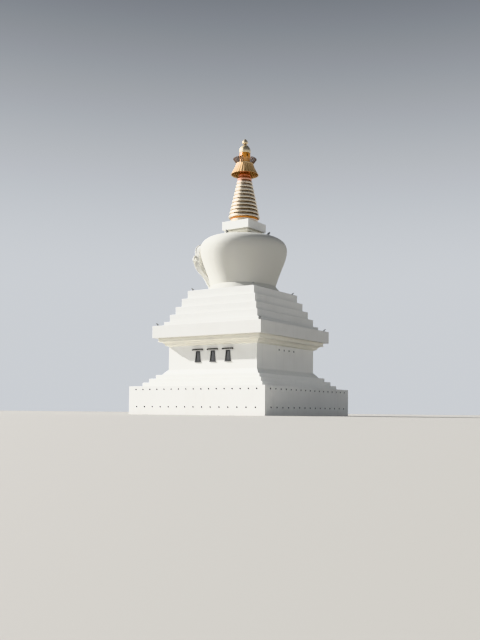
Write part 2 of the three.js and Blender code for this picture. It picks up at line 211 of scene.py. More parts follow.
class StupaColours(bpy.types.PropertyGroup):
    """Colours of the finishes."""

    wash: a_colour("Lime wash", "Clean plaster", 0.87, 0.86, 0.82)
    # On the harmika's neck this cream wash is painted light thrown up from the vase's top.
    cream: a_colour("Cream wash", "Plaster under the cornice", 0.87, 0.84, 0.745)
    vase: a_colour("Vase wash", "Plaster of the vase and its niche", 0.66, 0.645, 0.59)
    stain: a_colour("Stain", "Plaster where rain and dust have marked it", 0.66, 0.64, 0.60)
    gold: a_colour("Ring gilding", "Pale gilding of the rings", 0.93, 0.82, 0.66)
    sheet: a_colour("Sheet gilding", "Gilding of the orb and the jewel", 0.92, 0.78, 0.55)
    parasol: a_colour("Parasol gilding", "Weathered gilding of the parasol", 0.99, 0.68, 0.38)
    # Amber is painted reflection: the deeper colour of gilding that faces other gilding, on the
    # drum's upper face, the petals and half of the column.
    amber: a_colour("Amber gilding", "Gilding that sees mostly other gilding", 1.0, 0.44, 0.11)
    # The red-brown of the top rings and the neck is painted shade and painted reflection of the
    # parasol's gilding over them.
    copper: a_colour("Bare copper", "Rings and neck under the parasol", 0.95, 0.40, 0.26)
    lining: a_colour("Parasol lining", "Inside of the parasol", 0.97, 0.72, 0.42)
    # The tarnish colour is real tarnish in the film and the seams, and painted shade where the
    # recess attribute darkens grooves: the rings' grooves, the step in the drum and the jewel's
    # waist.
    tarnish: a_colour("Tarnish", "Brown film in the grooves of the gilding", 0.12, 0.065, 0.035)
    charcoal: a_colour("Charcoal paint", "Window surrounds", 0.055, 0.054, 0.054)
    pane: a_colour("Pane", "Window glass over a dark room", 0.11, 0.11, 0.11)
    lamp: a_colour("Lamp stand", "Painted stands and rims of the lamps", 0.10, 0.105, 0.11)
    casting: a_colour("Lamp casting", "Finned cases of the lamps", 0.46, 0.46, 0.45)
    hood: a_colour("Hood paint", "Window hoods", 0.030, 0.029, 0.026)
    mullion: a_colour("Mullion paint", "Uprights in the windows", 0.22, 0.22, 0.22)


class StupaMasonry(bpy.types.PropertyGroup):
    """Sizes of the masonry's fine shape."""

    edge_round: a_length(
        "Edge rounding", "Rounding of the plaster's edges", 0.02, min=0.001, max=0.1
    )
    weep_radius: a_length(
        "Weep hole radius", "Inside radius of a weep pipe", 0.07, min=0.02, max=0.2
    )
    weep_upper_height: a_length("Upper weep row", "Height of the upper row", 2.80)
    weep_upper_pitch: a_length(
        "Upper weep pitch", "Distance between holes in the upper row", 1.028
    )
    weep_lower_height: a_length("Lower weep row", "Height of the lower row", 0.86)
    weep_lower_pitch: a_length(
        "Lower weep pitch", "Distance between holes in the lower row", 1.155
    )


class StupaSpire(bpy.types.PropertyGroup):
    """Sizes and counts of the gilded spire."""

    ring_count: a_count("Rings", "Rings of the spire", 13, 1, 20)
    ring_pitch: a_length("Ring pitch", "Height of one ring with its groove", 0.457)
    ring_taper: a_length("Ring taper", "How much smaller each radius is than the one below", 0.101)
    rib_count: a_count("Parasol ribs", "Ribs under the parasol", 28, 4, 60)
    lattice_columns: a_count("Lattice columns", "Pierced cells across a wing", 11, 2, 30)
    lattice_rows: a_count("Lattice rows", "Pierced cells up a wing", 4, 1, 10)
    petal_count: a_count("Petals", "Petals round the crown's collar", 6, 4, 30)


class StupaStage(bpy.types.PropertyGroup):
    """The light and the floor."""

    key_strength: bpy.props.FloatProperty(
        name="Key light", description="Strength of the light from the niche's side", default=6.8,
    )
    key_softness: bpy.props.FloatProperty(
        name="Key softness", description="Angular size of the key light", subtype="ANGLE",
        default=math.radians(1.2),
    )
    fill_strength: bpy.props.FloatProperty(
        name="Fill light", description="Strength of the broad light on the windowed face",
        default=0.60,
    )
    horizon: a_colour("Horizon", "Colour of the air near the floor", 0.63, 0.655, 0.69)
    zenith: a_colour("Zenith", "Colour of the air overhead", 0.07, 0.085, 0.11)
    floor: a_colour("Floor", "Plain pale floor", 0.515, 0.49, 0.447)


# Node trees

def add_node(tree, kind, inputs=None, **settings):
    """The outputs of a new node. An input is named or numbered, and is a value or a socket."""
    made = tree.nodes.new(kind)
    for name, value in settings.items():
        setattr(made, name, value)
    for key, value in (inputs or {}).items():
        if isinstance(value, bpy.types.NodeSocket):
            tree.links.new(value, made.inputs[key])
        else:
            made.inputs[key].default_value = value
    return made.outputs


def new_tree(name, inputs, outputs, kind="ShaderNodeTree", gives="Float"):
    """A node group with named sockets, and the sockets inside it that give and take values.

    An input is given its default number, or else the kind of its socket.
    """
    tree = bpy.data.node_groups.new(name, kind)
    for label, default in inputs.items():
        socket = default if isinstance(default, str) else type(default).__name__.title()
        made = tree.interface.new_socket(label, in_out="INPUT", socket_type="NodeSocket" + socket)
        if socket != default:
            made.default_value = default
    for label in outputs:
        tree.interface.new_socket(label, in_out="OUTPUT", socket_type="NodeSocket" + gives)
    given = tree.nodes.new("NodeGroupInput").outputs
    taken = tree.nodes.new("NodeGroupOutput").inputs
    return tree, given, taken


def math_node(tree, operation, first, second=0.0, third=0.0):
    """The result of one sum."""
    inputs = {0: first, 1: second, 2: third}
    return add_node(tree, "ShaderNodeMath", inputs, operation=operation)[0]


def mask_between(tree, value, low, high):
    """0 where a value is under low and 1 where it is over high, smooth between."""
    inputs = {"Value": value, "From Min": low, "From Max": high}
    made = add_node(tree, "ShaderNodeMapRange", inputs, interpolation_type="SMOOTHSTEP")
    return made["Result"]


def mixed(tree, share, first, second):
    """A colour between two."""
    inputs = {0: share, 6: first, 7: second}
    return add_node(tree, "ShaderNodeMix", inputs, data_type="RGBA")[2]


def vector(tree, **parts):
    return add_node(tree, "ShaderNodeCombineXYZ", parts)[0]


def split(tree, whole):
    return add_node(tree, "ShaderNodeSeparateXYZ", {0: whole})


def object_place(tree):
    return add_node(tree, "ShaderNodeTexCoord")["Object"]


def noise(tree, place, scale, detail):
    inputs = {"Vector": place, "Scale": scale, "Detail": detail}
    return add_node(tree, "ShaderNodeTexNoise", inputs)["Fac"]


def weathering_group():
    """Rain streaks that run down, and soft blotches."""
    inputs = {"Streak Scale": 2.2, "Streak Stretch": 0.06, "Blotch Scale": 0.35}
    tree, given, taken = new_tree("weathering", inputs, ("Streaks", "Blotches"))
    place = object_place(tree)
    stretch = vector(tree, X=1.0, Y=1.0, Z=given["Streak Stretch"])
    long = add_node(tree, "ShaderNodeVectorMath", {0: place, 1: stretch}, operation="MULTIPLY")
    streaks = noise(tree, long[0], given["Streak Scale"], 5.0)
    blotches = noise(tree, place, given["Blotch Scale"], 4.0)
    tree.links.new(mask_between(tree, streaks, 0.50, 0.74), taken["Streaks"])
    tree.links.new(mask_between(tree, blotches, 0.42, 0.72), taken["Blotches"])


def grain_group():
    """A trowelled, rolled surface: broad waves and a fine grain, as a height."""
    inputs = {"Wave Scale": 3.0, "Grain Scale": 55.0, "Grain Share": 0.35}
    tree, given, taken = new_tree("trowel_grain", inputs, ("Height",))
    place = object_place(tree)
    waves = noise(tree, place, given["Wave Scale"], 3.0)
    grain = noise(tree, place, given["Grain Scale"], 2.0)
    height = math_node(tree, "MULTIPLY_ADD", grain, given["Grain Share"], waves)
    tree.links.new(height, taken["Height"])


def height_fade_group():
    """1 at one height, fading to 0 at another."""
    inputs = {"Full Height": 0.0, "Clear Height": 1.0}
    tree, given, taken = new_tree("height_fade", inputs, ("Mask",))
    height = split(tree, object_place(tree))["Z"]
    clear = mask_between(tree, height, given["Full Height"], given["Clear Height"])
    tree.links.new(math_node(tree, "SUBTRACT", 1.0, clear), taken["Mask"])


def sheet_work_group():
    """Beaten metal sheets round an upright axis: upright seams, dents and a tarnished film."""
    inputs = {"Seams Round": 12.0, "Seam Width": 0.02, "Dent Scale": 3.5, "Film Scale": 2.0}
    tree, given, taken = new_tree("sheet_work", inputs, ("Seams", "Dents", "Film"))
    place = object_place(tree)
    part = split(tree, place)
    angle = math_node(tree, "ARCTAN2", part["Y"], part["X"])
    turns = math_node(tree, "DIVIDE", angle, math.tau)
    along = math_node(tree, "MULTIPLY", turns, given["Seams Round"])
    near = math_node(tree, "PINGPONG", along, 0.5)
    open_sheet = mask_between(tree, near, 0.0, given["Seam Width"])
    tree.links.new(math_node(tree, "SUBTRACT", 1.0, open_sheet), taken["Seams"])
    tree.links.new(noise(tree, place, given["Dent Scale"], 2.0), taken["Dents"])
    film = noise(tree, place, given["Film Scale"], 5.0)
    tree.links.new(mask_between(tree, film, 0.45, 0.75), taken["Film"])


def new_material(name):
    """A new material's tree and shader, with nothing fed to them yet."""
    material = bpy.data.materials.new(name)
    material.use_nodes = True
    return material.node_tree, material.node_tree.nodes["Principled BSDF"]


def feed(tree, shader, **sockets):
    """Feeds or sets the shader's inputs, whose names are given with underscores."""
    for name, value in sockets.items():
        target = shader.inputs[name.replace("_", " ")]
        if isinstance(value, bpy.types.NodeSocket):
            tree.links.new(value, target)
        else:
            target.default_value = value


def bump(tree, height, distance):
    return add_node(tree, "ShaderNodeBump", {"Distance": distance, "Height": height})["Normal"]


def group_node(tree, name, **inputs):
    """The outputs of a shared group, whose inputs are given with underscores."""
    named = {key.replace("_", " "): value for key, value in inputs.items()}
    return add_node(tree, "ShaderNodeGroup", named, node_tree=bpy.data.node_groups[name])


def opaque(colour):
    return (*colour, 1.0)


def scaled(colour, by, more=0.0):
    """A colour made lighter or darker."""
    return tuple(min(1.0, c * by + more) for c in colour)


def between(first, second):
    """The colour half way between two."""
    return tuple((a + b) / 2 for a, b in zip(first, second))


def plaster(name, wash, stain, streak=0.12, blotch=0.14, splash=(-2.0, -1.0), grain=0.004):
    """Lime-washed plaster, streaked by rain and splashed near the height where it stands."""
    tree, shader = new_material(name)
    marks = group_node(tree, "weathering")
    foot = group_node(tree, "height_fade", Full_Height=splash[0], Clear_Height=splash[1])
    streaks = math_node(tree, "MULTIPLY", marks["Streaks"], streak)
    worn = math_node(tree, "MULTIPLY_ADD", marks["Blotches"], blotch, streaks)
    dirty = math_node(tree, "MULTIPLY_ADD", foot["Mask"], 0.25, worn)
    share = math_node(tree, "MINIMUM", dirty, 0.8)
    colour = mixed(tree, share, opaque(wash), opaque(stain))
    roughness = math_node(tree, "MULTIPLY_ADD", marks["Blotches"], 0.1, 0.8)
    normal = bump(tree, group_node(tree, "trowel_grain")["Height"], grain)
    feed(tree, shader, Base_Color=colour, Roughness=roughness, Normal=normal)


def gilding(
    name, colour, tarnish, film, roughness, seams=12, seam_width=0.02, shade_tint=None, metallic=1.0,
):
    """Gilded copper sheet. The piece's own attribute recess says where its grooves are.

    shade_tint gives a colour that the sheet takes on between two heights, clear and full: painted
    shade and painted reflection of the parasol's gilding on the rings and neck under it.
    """
    tree, shader = new_material(name)
    work = group_node(tree, "sheet_work", Seams_Round=float(seams), Seam_Width=seam_width)
    # Painted shade: the recess attribute darkens the grooves towards the tarnish colour.
    groove = add_node(tree, "ShaderNodeAttribute", attribute_name="recess")["Fac"]
    thin = math_node(tree, "MULTIPLY", work["Film"], film)
    lines = math_node(tree, "MULTIPLY_ADD", work["Seams"], 0.4, thin)
    share = math_node(tree, "MINIMUM", math_node(tree, "MAXIMUM", lines, groove), 1.0)
    sheet = opaque(colour)
    if shade_tint:
        red, clear, full = shade_tint
        fade = group_node(tree, "height_fade", Full_Height=full, Clear_Height=clear)
        sheet = mixed(tree, fade["Mask"], sheet, opaque(red))
    tone = mixed(tree, share, sheet, opaque(tarnish))
    rough = math_node(tree, "MULTIPLY_ADD", share, 0.35, roughness)
    height = math_node(tree, "MULTIPLY_ADD", work["Seams"], -0.3, work["Dents"])
    feed(tree, shader, Base_Color=tone, Roughness=rough, Metallic=metallic)
    feed(tree, shader, Normal=bump(tree, height, 0.012))


def painted(name, colour, roughness):
    """Sprayed paint with a film of dust that gathers in blotches."""
    tree, shader = new_material(name)
    marks = group_node(tree, "weathering", Streak_Scale=9.0, Blotch_Scale=3.0)
    dust = math_node(tree, "MULTIPLY_ADD", marks["Streaks"], 0.12, 0.02)
    tone = mixed(tree, dust, opaque(colour), opaque(scaled(colour, 2.5, 0.12)))
    rough = math_node(tree, "MULTIPLY_ADD", marks["Blotches"], 0.15, roughness)
    height = group_node(tree, "trowel_grain", Wave_Scale=12.0, Grain_Scale=180.0)["Height"]
    feed(tree, shader, Base_Color=tone, Roughness=rough, Normal=bump(tree, height, 0.0008))


def glazing(name, colour, roughness=0.16):
    """Glass over a dark room, with a little dust."""
    tree, shader = new_material(name)
    marks = group_node(tree, "weathering", Streak_Scale=6.0, Blotch_Scale=1.5)
    dust = math_node(tree, "MULTIPLY", marks["Streaks"], 0.5)
    tone = mixed(tree, dust, opaque(colour), opaque(scaled(colour, 1.0, 0.08)))
    rough = math_node(tree, "MULTIPLY_ADD", marks["Blotches"], 0.12, roughness)
    feed(tree, shader, Base_Color=tone, Roughness=rough, Coat_Weight=0.5)


def mix_finishes(colours, ribs):
    """Builds the shared groups and every material.

    The bare numbers are the shares of streaks and blotches for plaster, and film, roughness,
    seams round and their width for gilding.
    """
    weathering_group()
    grain_group()
    height_fade_group()
    sheet_work_group()
    base_low = level("base_terrace")[1]
    cornice_high = level("cornice_slab")[2]
    wash, stain, tarnish = colours.wash, colours.stain, colours.tarnish
    # Lit and shaded copies of the lime wash: the base's is lighter as painted light on its shaded
    # side, and the terraces' (worn) is darker as painted shade on their faces.
    painted_light_wash, worn = scaled(wash, 1.07), scaled(wash, 0.94)
    shrine = between(wash, colours.vase)
    plaster("lime_plaster", wash, stain)
    plaster("terrace_plaster", worn, stain)
    plaster("base_plaster", painted_light_wash, stain, 0.12, 0.12, (base_low, base_low + 0.9), 0.006)
    plaster("cornice_plaster", wash, stain, splash=(cornice_high, cornice_high + 0.1))
    plaster("cove_plaster", colours.cream, stain, 0.06, 0.10)
    plaster("vase_plaster", colours.vase, stain, 0.08, 0.12, grain=0.003)
    plaster("shrine_plaster", shrine, stain, 0.08, 0.12, grain=0.003)
    plaster("inner_plaster", wash, stain, 0.05, 0.10, grain=0.002)
    rim = level("parasol")[1]
    # The top rings and the neck fade into the painted red-brown of shade and reflected gilding
    # under the parasol.
    shade_tint = (colours.copper, rim - 1.2, rim - 0.3)
    # The column's colour is half amber, and so partly painted reflection.
    column = between(colours.parasol, colours.amber)
    # The lattice's dark bronze is partly tarnish and partly painted shade, for the wings, the ribs
    # and the column's head, which lie in shade.
    bronze_and_shade = scaled(tarnish, 2.0)
    gilding("gilded_sheet", colours.sheet, tarnish, 0.12, 0.38, metallic=0.88)
    gilding("parasol_gilding", colours.parasol, tarnish, 0.12, 0.5, ribs, 0.2, metallic=0.68)
    gilding("column_gilding", column, tarnish, 0.0, 0.55, 16, 0.06, metallic=0.15)
    gilding("ring_gilding", colours.gold, tarnish, 0.15, 0.38, shade_tint=shade_tint)
    gilding("amber_gilding", colours.amber, tarnish, 0.06, 0.34, metallic=0.4)
    gilding("lining_gilding", colours.lining, tarnish, 0.3, 0.45, 0, metallic=0.75)
    gilding("lattice_gilding", bronze_and_shade, colours.charcoal, 0.4, 0.5, 0, metallic=0.4)
    painted("charcoal_paint", colours.charcoal, 0.5)
    painted("hood_paint", colours.hood, 0.6)
    painted("mullion_paint", colours.mullion, 0.5)
    painted("lamp_paint", colours.lamp, 0.42)
    painted("lamp_casting", colours.casting, 0.5)
    painted("pipe_grey", PIPE_GREY, 0.55)
    glazing("window_glass", colours.pane)
    glazing("lamp_glass", LAMP_GLASS, 0.04)


# Meshes

def unit_circle(sides):
    return [(math.cos(math.tau * n / sides), math.sin(math.tau * n / sides)) for n in range(sides)]


def new_piece(name, mesh, *materials):
    """An object at the origin for a mesh, with the named materials in place of its own."""
    piece = bpy.data.objects.new(name, mesh)
    bpy.context.scene.collection.objects.link(piece)
    if materials:
        mesh.materials.clear()
    for material in materials:
        mesh.materials.append(bpy.data.materials[material])
    return piece


def plain_mesh(shape, name):
    """The mesh of a bmesh, which goes."""
    mesh = bpy.data.meshes.new(name)
    shape.to_mesh(mesh)
    shape.free()
    return mesh


def mesh_of(shape, name):
    """The mesh of a closed bmesh, with its faces pointing out."""
    bmesh.ops.recalc_face_normals(shape, faces=shape.faces)
    return plain_mesh(shape, name)


def smooth(mesh, sharp=40):
    """Smooth shading that breaks at edges sharper than an angle in degrees."""
    mesh.shade_smooth()
    mesh.set_sharp_from_angle(angle=math.radians(sharp))
    return mesh


def add_run(shape, profile, plan, closed=False, recess=None):
    """Adds to a bmesh a profile of (radius, height) pairs run round a plan of unit points.

    A radius of 0 is a pole. A profile that doesn't close on itself gets flat ends. recess gives
    each of its points a share of tarnish.
    """
    layer = shape.verts.layers.float.get("recess") or shape.verts.layers.float.new("recess")
    rings = []
    for n, (radius, height) in enumerate(profile):
        around = plan if radius > TOUCH else [(0, 0)]
        ring = [shape.verts.new((radius * x, radius * y, height)) for x, y in around]
        for vert in ring:
            vert[layer] = recess[n] if recess else 0.0
        rings.append(ring)
    pairs = list(zip(rings, rings[1:]))
    if closed:
        pairs.append((rings[-1], rings[0]))
    for lower, upper in pairs:
        for i in range(len(plan)):
            j = (i + 1) % len(plan)
            corners = [lower[i % len(lower)], lower[j % len(lower)]]
            corners += [upper[j % len(upper)], upper[i % len(upper)]]
            corners = list(dict.fromkeys(corners))
            if len(corners) > 2:
                shape.faces.new(corners)
    if not closed:
        for ring in (rings[0], rings[-1]):
            if len(ring) > 2:
                shape.faces.new(ring)


def run_round(name, profile, plan, closed=False, recess=None):
    """The mesh of one run."""
    shape = bmesh.new()
    add_run(shape, profile, plan, closed, recess)
    return mesh_of(shape, name)


def turned(name, profile, sides=SPIRE_SIDES, sharp=40, recess=None):
    """The smooth mesh of a profile turned round the upright axis."""
    return smooth(run_round(name, profile, unit_circle(sides), recess=recess), sharp)


def lying(name, profile):
    """The mesh of a profile of (radius, y) pairs turned round the Y axis."""
    shape = bmesh.new()
    add_run(shape, profile, unit_circle(PIPE_SIDES))
    shape.transform(Matrix.Rotation(-math.pi / 2, 4, "X"))
    return mesh_of(shape, name)


def skin(shape, loops, closed=True):
    """Adds to a bmesh the faces between loops, or between open rows, of as many points each."""
    for lower, upper in zip(loops, loops[1:]):
        for i in range(len(lower) if closed else len(lower) - 1):
            j = (i + 1) % len(lower)
            shape.faces.new((lower[i], lower[j], upper[j], upper[i]))


def add_block(shape, low, high, turn=Matrix()):
    """Adds a box between two corners to a bmesh, turned by a matrix."""
    size = Vector(high) - Vector(low)
    middle = (Vector(high) + Vector(low)) / 2
    place = Matrix.Translation(middle) @ Matrix.Diagonal((*size, 1.0))
    bmesh.ops.create_cube(shape, size=1.0, matrix=turn @ place)


def add_prism(shape, outline, front, back):
    """Adds a prism to a bmesh: an outline of (x, z) points, from y = front to y = back."""
    ends = [[shape.verts.new((x, y, z)) for x, z in outline] for y in (front, back)]
    skin(shape, ends)
    for end in ends:
        shape.faces.new(end)


def add_frame(shape, outer, inner, front, back):
    """Adds to a bmesh a frame between two outlines of (x, z) points, from front to back."""
    loops = [
        [shape.verts.new((x, y, z)) for x, z in outline]
        for outline, y in ((outer, front), (inner, front), (inner, back), (outer, back))
    ]
    skin(shape, loops + loops[:1])


def eased(points, steps=6):
    """A smooth curve through points."""
    ends = [points[0], *points, points[-1]]
    curve = []
    for four in zip(ends, ends[1:], ends[2:], ends[3:]):
        for n in range(steps):
            t = n / steps
            curve.append(tuple(
                0.5 * (2 * b + (c - a) * t + (2 * a - 5 * b + 4 * c - d) * t * t
                       + (3 * b - a - 3 * c + d) * t ** 3)
                for a, b, c, d in zip(*four)
            ))
    return [*curve, tuple(points[-1])]


def turned_profile(node):
    """The (radius, height) pairs of a turned node, from its foot to its head."""
    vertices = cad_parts[node].data.vertices
    corners = {(round(v.co.xy.length, 3), round(v.co.z, 3)) for v in vertices}
    return sorted((c for c in corners if c[0] > TOUCH), key=lambda corner: corner[1])


def soften(piece, width):
    """Rounds a piece's edges."""
    edge = piece.modifiers.new("edge_round", "BEVEL")
    edge.width = width
    edge.segments = 2
    edge.limit_method = "ANGLE"
    edge.angle_limit = math.radians(30)


def thicken(piece, thickness, offset=0.0):
    """Gives a piece of open faces a thickness."""
    wall = piece.modifiers.new("wall", "SOLIDIFY")
    wall.thickness = thickness
    wall.offset = offset


def combine(rough, other, operation):
    """Adds a boolean with another object."""
    made = rough.modifiers.new(other.name, "BOOLEAN")
    made.object = other
    made.operation = operation
    made.solver = "EXACT"


def settled(rough, name):
    """The plain mesh that a rough object's modifiers make. The rough object goes."""
    bpy.context.view_layer.update()
    graph = bpy.context.evaluated_depsgraph_get()
    mesh = bpy.data.meshes.new_from_object(rough.evaluated_get(graph), depsgraph=graph)
    mesh.name = name
    bpy.data.objects.remove(rough)
    return mesh


def tube(name, paths, radius, cyclic=False):
    """The mesh of round bars along paths of points."""
    curve = bpy.data.curves.new(name, "CURVE")
    curve.dimensions = "3D"
    curve.bevel_depth = radius
    curve.bevel_resolution = 3
    curve.use_fill_caps = True
    for path in paths:
        spline = curve.splines.new("POLY")
        spline.points.add(len(path) - 1)
        spline.use_cyclic_u = cyclic
        for point, place in zip(spline.points, path):
            point.co = (*place, 1.0)
    rough = bpy.data.objects.new(name, curve)
    bpy.context.scene.collection.objects.link(rough)
    return smooth(settled(rough, name), 60)


def finish(piece, slot, *nodes):
    """Ties a finished piece to the frame."""
    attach(piece, BODY)
    if nodes:
        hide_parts(*nodes)


def add_square(name, node, profile, material, edge, closed=False):
    """A finished piece of square plan, with its edges rounded."""
    piece = new_piece(name, run_round(name, profile, SQUARE, closed), material)
    soften(piece, edge)
    finish(piece, "white_plaster", node)


# Geometry Nodes

def grown(name, mesh, tree_name, values):
    """The plain mesh that a tree with the named input values makes of a mesh."""
    rough = new_piece(name + "_rough", mesh)
    modifier = rough.modifiers.new(tree_name, "NODES")
    modifier.node_group = bpy.data.node_groups[tree_name]
    for item in modifier.node_group.interface.items_tree:
        if item.item_type == "SOCKET" and item.in_out == "INPUT" and item.name in values:
            modifier[item.identifier] = values[item.name]
    return settled(rough, name)


def shape_tree(name, inputs):
    """A Geometry Nodes tree that puts out one geometry."""
    return new_tree(name, inputs, ("Geometry",), "GeometryNodeTree", "Geometry")


def instances(tree, points, part, **more):
    inputs = {"Points": points, "Instance": part, **more}
    return add_node(tree, "GeometryNodeInstanceOnPoints", inputs)[0]


def close_tree(tree, given, taken, geometry):
    """Ends a tree: instances made real, then the material."""
    real = add_node(tree, "GeometryNodeRealizeInstances", {"Geometry": geometry})[0]
    inputs = {"Geometry": real, "Material": given["Material"]}
    tree.links.new(add_node(tree, "GeometryNodeSetMaterial", inputs)[0], taken["Geometry"])


def copies_tree():
    """One part at each point of a mesh, turned about Z by the point's own attribute turn."""
    inputs = {"Points": "Geometry", "Part": "Object", "Material": "Material"}
    tree, given, taken = shape_tree("copies_on_points", inputs)
    part = add_node(tree, "GeometryNodeObjectInfo", {"Object": given["Part"]})["Geometry"]
    named = add_node(tree, "GeometryNodeInputNamedAttribute", {"Name": "turn"}, data_type="FLOAT")
    turn = vector(tree, Z=named["Attribute"])
    made = instances(tree, given["Points"], part, Rotation=turn)
    close_tree(tree, given, taken, made)


def ring_stack_tree():
    """Copies of one ring, each a pitch higher and smaller by the taper."""
    inputs = {
        "Ring": "Geometry", "Ring Count": 13, "Ring Pitch": 0.45, "First Radius": 1.85,
        "Taper": 0.1, "Material": "Material",
    }
    tree, given, taken = shape_tree("ring_stack", inputs)
    step = vector(tree, Z=given["Ring Pitch"])
    inputs = {"Count": given["Ring Count"], "Offset": step}
    line = add_node(tree, "GeometryNodeMeshLine", inputs)[0]
    number = add_node(tree, "GeometryNodeInputIndex")[0]
    less = math_node(tree, "MULTIPLY", number, given["Taper"])
    share = math_node(tree, "DIVIDE", less, given["First Radius"])
    size = math_node(tree, "SUBTRACT", 1.0, share)
    scale = vector(tree, X=size, Y=size, Z=1.0)
    rings = instances(tree, line, given["Ring"], Scale=scale)
    close_tree(tree, given, taken, rings)


def lattice_tree():
    """Copies of one flat cell in rows and columns, wrapped round a cone."""
    inputs = {
        "Cell": "Geometry", "Columns": 10, "Rows": 4, "Middle Angle": 0.0, "Sweep": 1.0,
        "Middle Radius": 1.0, "Radius Span": 0.5, "Middle Height": 0.0, "Height Span": 0.5,
        "Material": "Material",
    }
    tree, given, taken = shape_tree("cone_lattice", inputs)
    wide = math_node(tree, "DIVIDE", 1.0, given["Columns"])
    tall = math_node(tree, "DIVIDE", 1.0, given["Rows"])
    inputs = {
        "Size X": math_node(tree, "SUBTRACT", 1.0, wide),
        "Size Y": math_node(tree, "SUBTRACT", 1.0, tall),
        "Vertices X": given["Columns"],
        "Vertices Y": given["Rows"],
    }
    grid = add_node(tree, "GeometryNodeMeshGrid", inputs)[0]
    cells = instances(tree, grid, given["Cell"], Scale=vector(tree, X=wide, Y=tall, Z=1.0))
    real = add_node(tree, "GeometryNodeRealizeInstances", {"Geometry": cells})[0]
    inputs = {"Geometry": real, "Distance": TOUCH}
    merged = add_node(tree, "GeometryNodeMergeByDistance", inputs)[0]
    part = split(tree, add_node(tree, "GeometryNodeInputPosition")[0])
    angle = math_node(tree, "MULTIPLY_ADD", part["X"], given["Sweep"], given["Middle Angle"])
    radius, height = (
        math_node(tree, "MULTIPLY_ADD", part["Y"], given[f"{size} Span"], given[f"Middle {size}"])
        for size in ("Radius", "Height")
    )
    across = math_node(tree, "MULTIPLY", math_node(tree, "COSINE", angle), radius)
    deep = math_node(tree, "MULTIPLY", math_node(tree, "SINE", angle), radius)
    inputs = {"Geometry": merged, "Position": vector(tree, X=across, Y=deep, Z=height)}
    moved = add_node(tree, "GeometryNodeSetPosition", inputs)[0]
    close_tree(tree, given, taken, moved)


def copies(name, part_mesh, places, material):
    """The plain mesh of one part set at (point, turn) places."""
    points = bpy.data.meshes.new(name + "_points")
    points.from_pydata([tuple(point) for point, _ in places], [], [])
    turn = points.attributes.new("turn", "FLOAT", "POINT")
    turn.data.foreach_set("value", [angle for _, angle in places])
    part = new_piece(name + "_part", part_mesh)
    values = {"Part": part, "Material": bpy.data.materials[material]}
    mesh = grown(name, points, "copies_on_points", values)
    bpy.data.objects.remove(part)
    return mesh


def add_copies(name, part_mesh, places, material, slot, *nodes):
    """A finished piece of like parts."""
    finish(new_piece(name, copies(name, part_mesh, places, material)), slot, *nodes)


def turned_place(turn, along, out, height):
    """A place on the front that a turn about Z brings to another side, and the turn."""
    return Matrix.Rotation(turn, 3, "Z") @ Vector((along, -out, height)), turn


def side_places(along, out, height):
    """The same place on each of the four sides, as (point, turn) pairs."""
    return [turned_place(n * math.pi / 2, along, out, height) for n in range(4)]


def round_places(count):
    """Even turns about the axis, as (point, turn) pairs."""
    return [((0, 0, 0), math.tau * n / count) for n in range(count)]


# Base and steps

def weep_places(sizes):
    """Where each weep pipe comes out of the base wall, in two rows a side."""
    half = level("base_terrace")[0]
    pitches = (sizes.weep_upper_pitch, sizes.weep_lower_pitch)
    heights = (sizes.weep_upper_height, sizes.weep_lower_height)
    return [
        place
        for count, pitch, height in zip(WEEP_COUNTS, pitches, heights)
        for n in range(count)
        for place in side_places((n - (count - 1) / 2) * pitch, half, height)
    ]


def build_base(masonry):
    """The base wall, bored for its weep pipes, and the pipes, each closed at its far end."""
    half, low, high = level("base_terrace")
    places = weep_places(masonry)
    inner, outer = masonry.weep_radius, masonry.weep_radius + PIPE_WALL
    bore = lying("bore", [(outer, -0.1), (outer, WEEP_DEPTH)])
    holes = new_piece("weep_holes", copies("weep_holes", bore, places, "pipe_grey"))
    rough = new_piece("base_rough", run_round("base_wall", [(half, low), (half, high)], SQUARE))
    combine(rough, holes, "DIFFERENCE")
    wall = new_piece("base_wall", settled(rough, "base_wall"), "base_plaster")
    bpy.data.objects.remove(holes)
    soften(wall, masonry.edge_round)
    finish(wall, "white_plaster", "base_terrace")
    back = WEEP_DEPTH - 0.01
    profile = [(0, back), (outer, back), (outer, -PIPE_PROUD), (inner, -PIPE_PROUD)]
    profile += [(inner, back - PIPE_WALL), (0, back - PIPE_WALL)]
    pipe = smooth(lying("weep_pipe", profile))
    add_copies("weep_pipes", pipe, places, "pipe_grey", "charcoal_trim")


def build_course(name, node, material, masonry, drip=0.0):
    """A square slab with rounded edges, and a shallow drip groove under its edge."""
    half, low, high = level(node)
    profile = [(half, low), (half, high)]
    if drip:
        inner = half - 3 * drip
        groove = [(inner - drip, low), (inner - drip, low + drip / 2), (inner, low + drip / 2)]
        profile = [*groove, (inner, low), *profile]
    add_square(name, node, profile, material, masonry.edge_round)


def build_steps(masonry):
    for part in ("lower", "middle", "upper"):
        build_course("stair_" + part, "step_" + part, "base_plaster", masonry)


# The hall

def dress_walls():
    """The hall's walls and floor keep their frame meshes and get a finish."""
    for node in ("front_wall", "back_wall", "right_wall", "left_wall", "hall_floor"):
        name = "inner_plaster" if node == "hall_floor" else "lime_plaster"
        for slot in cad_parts[node].material_slots:
            slot.material = bpy.data.materials[name]


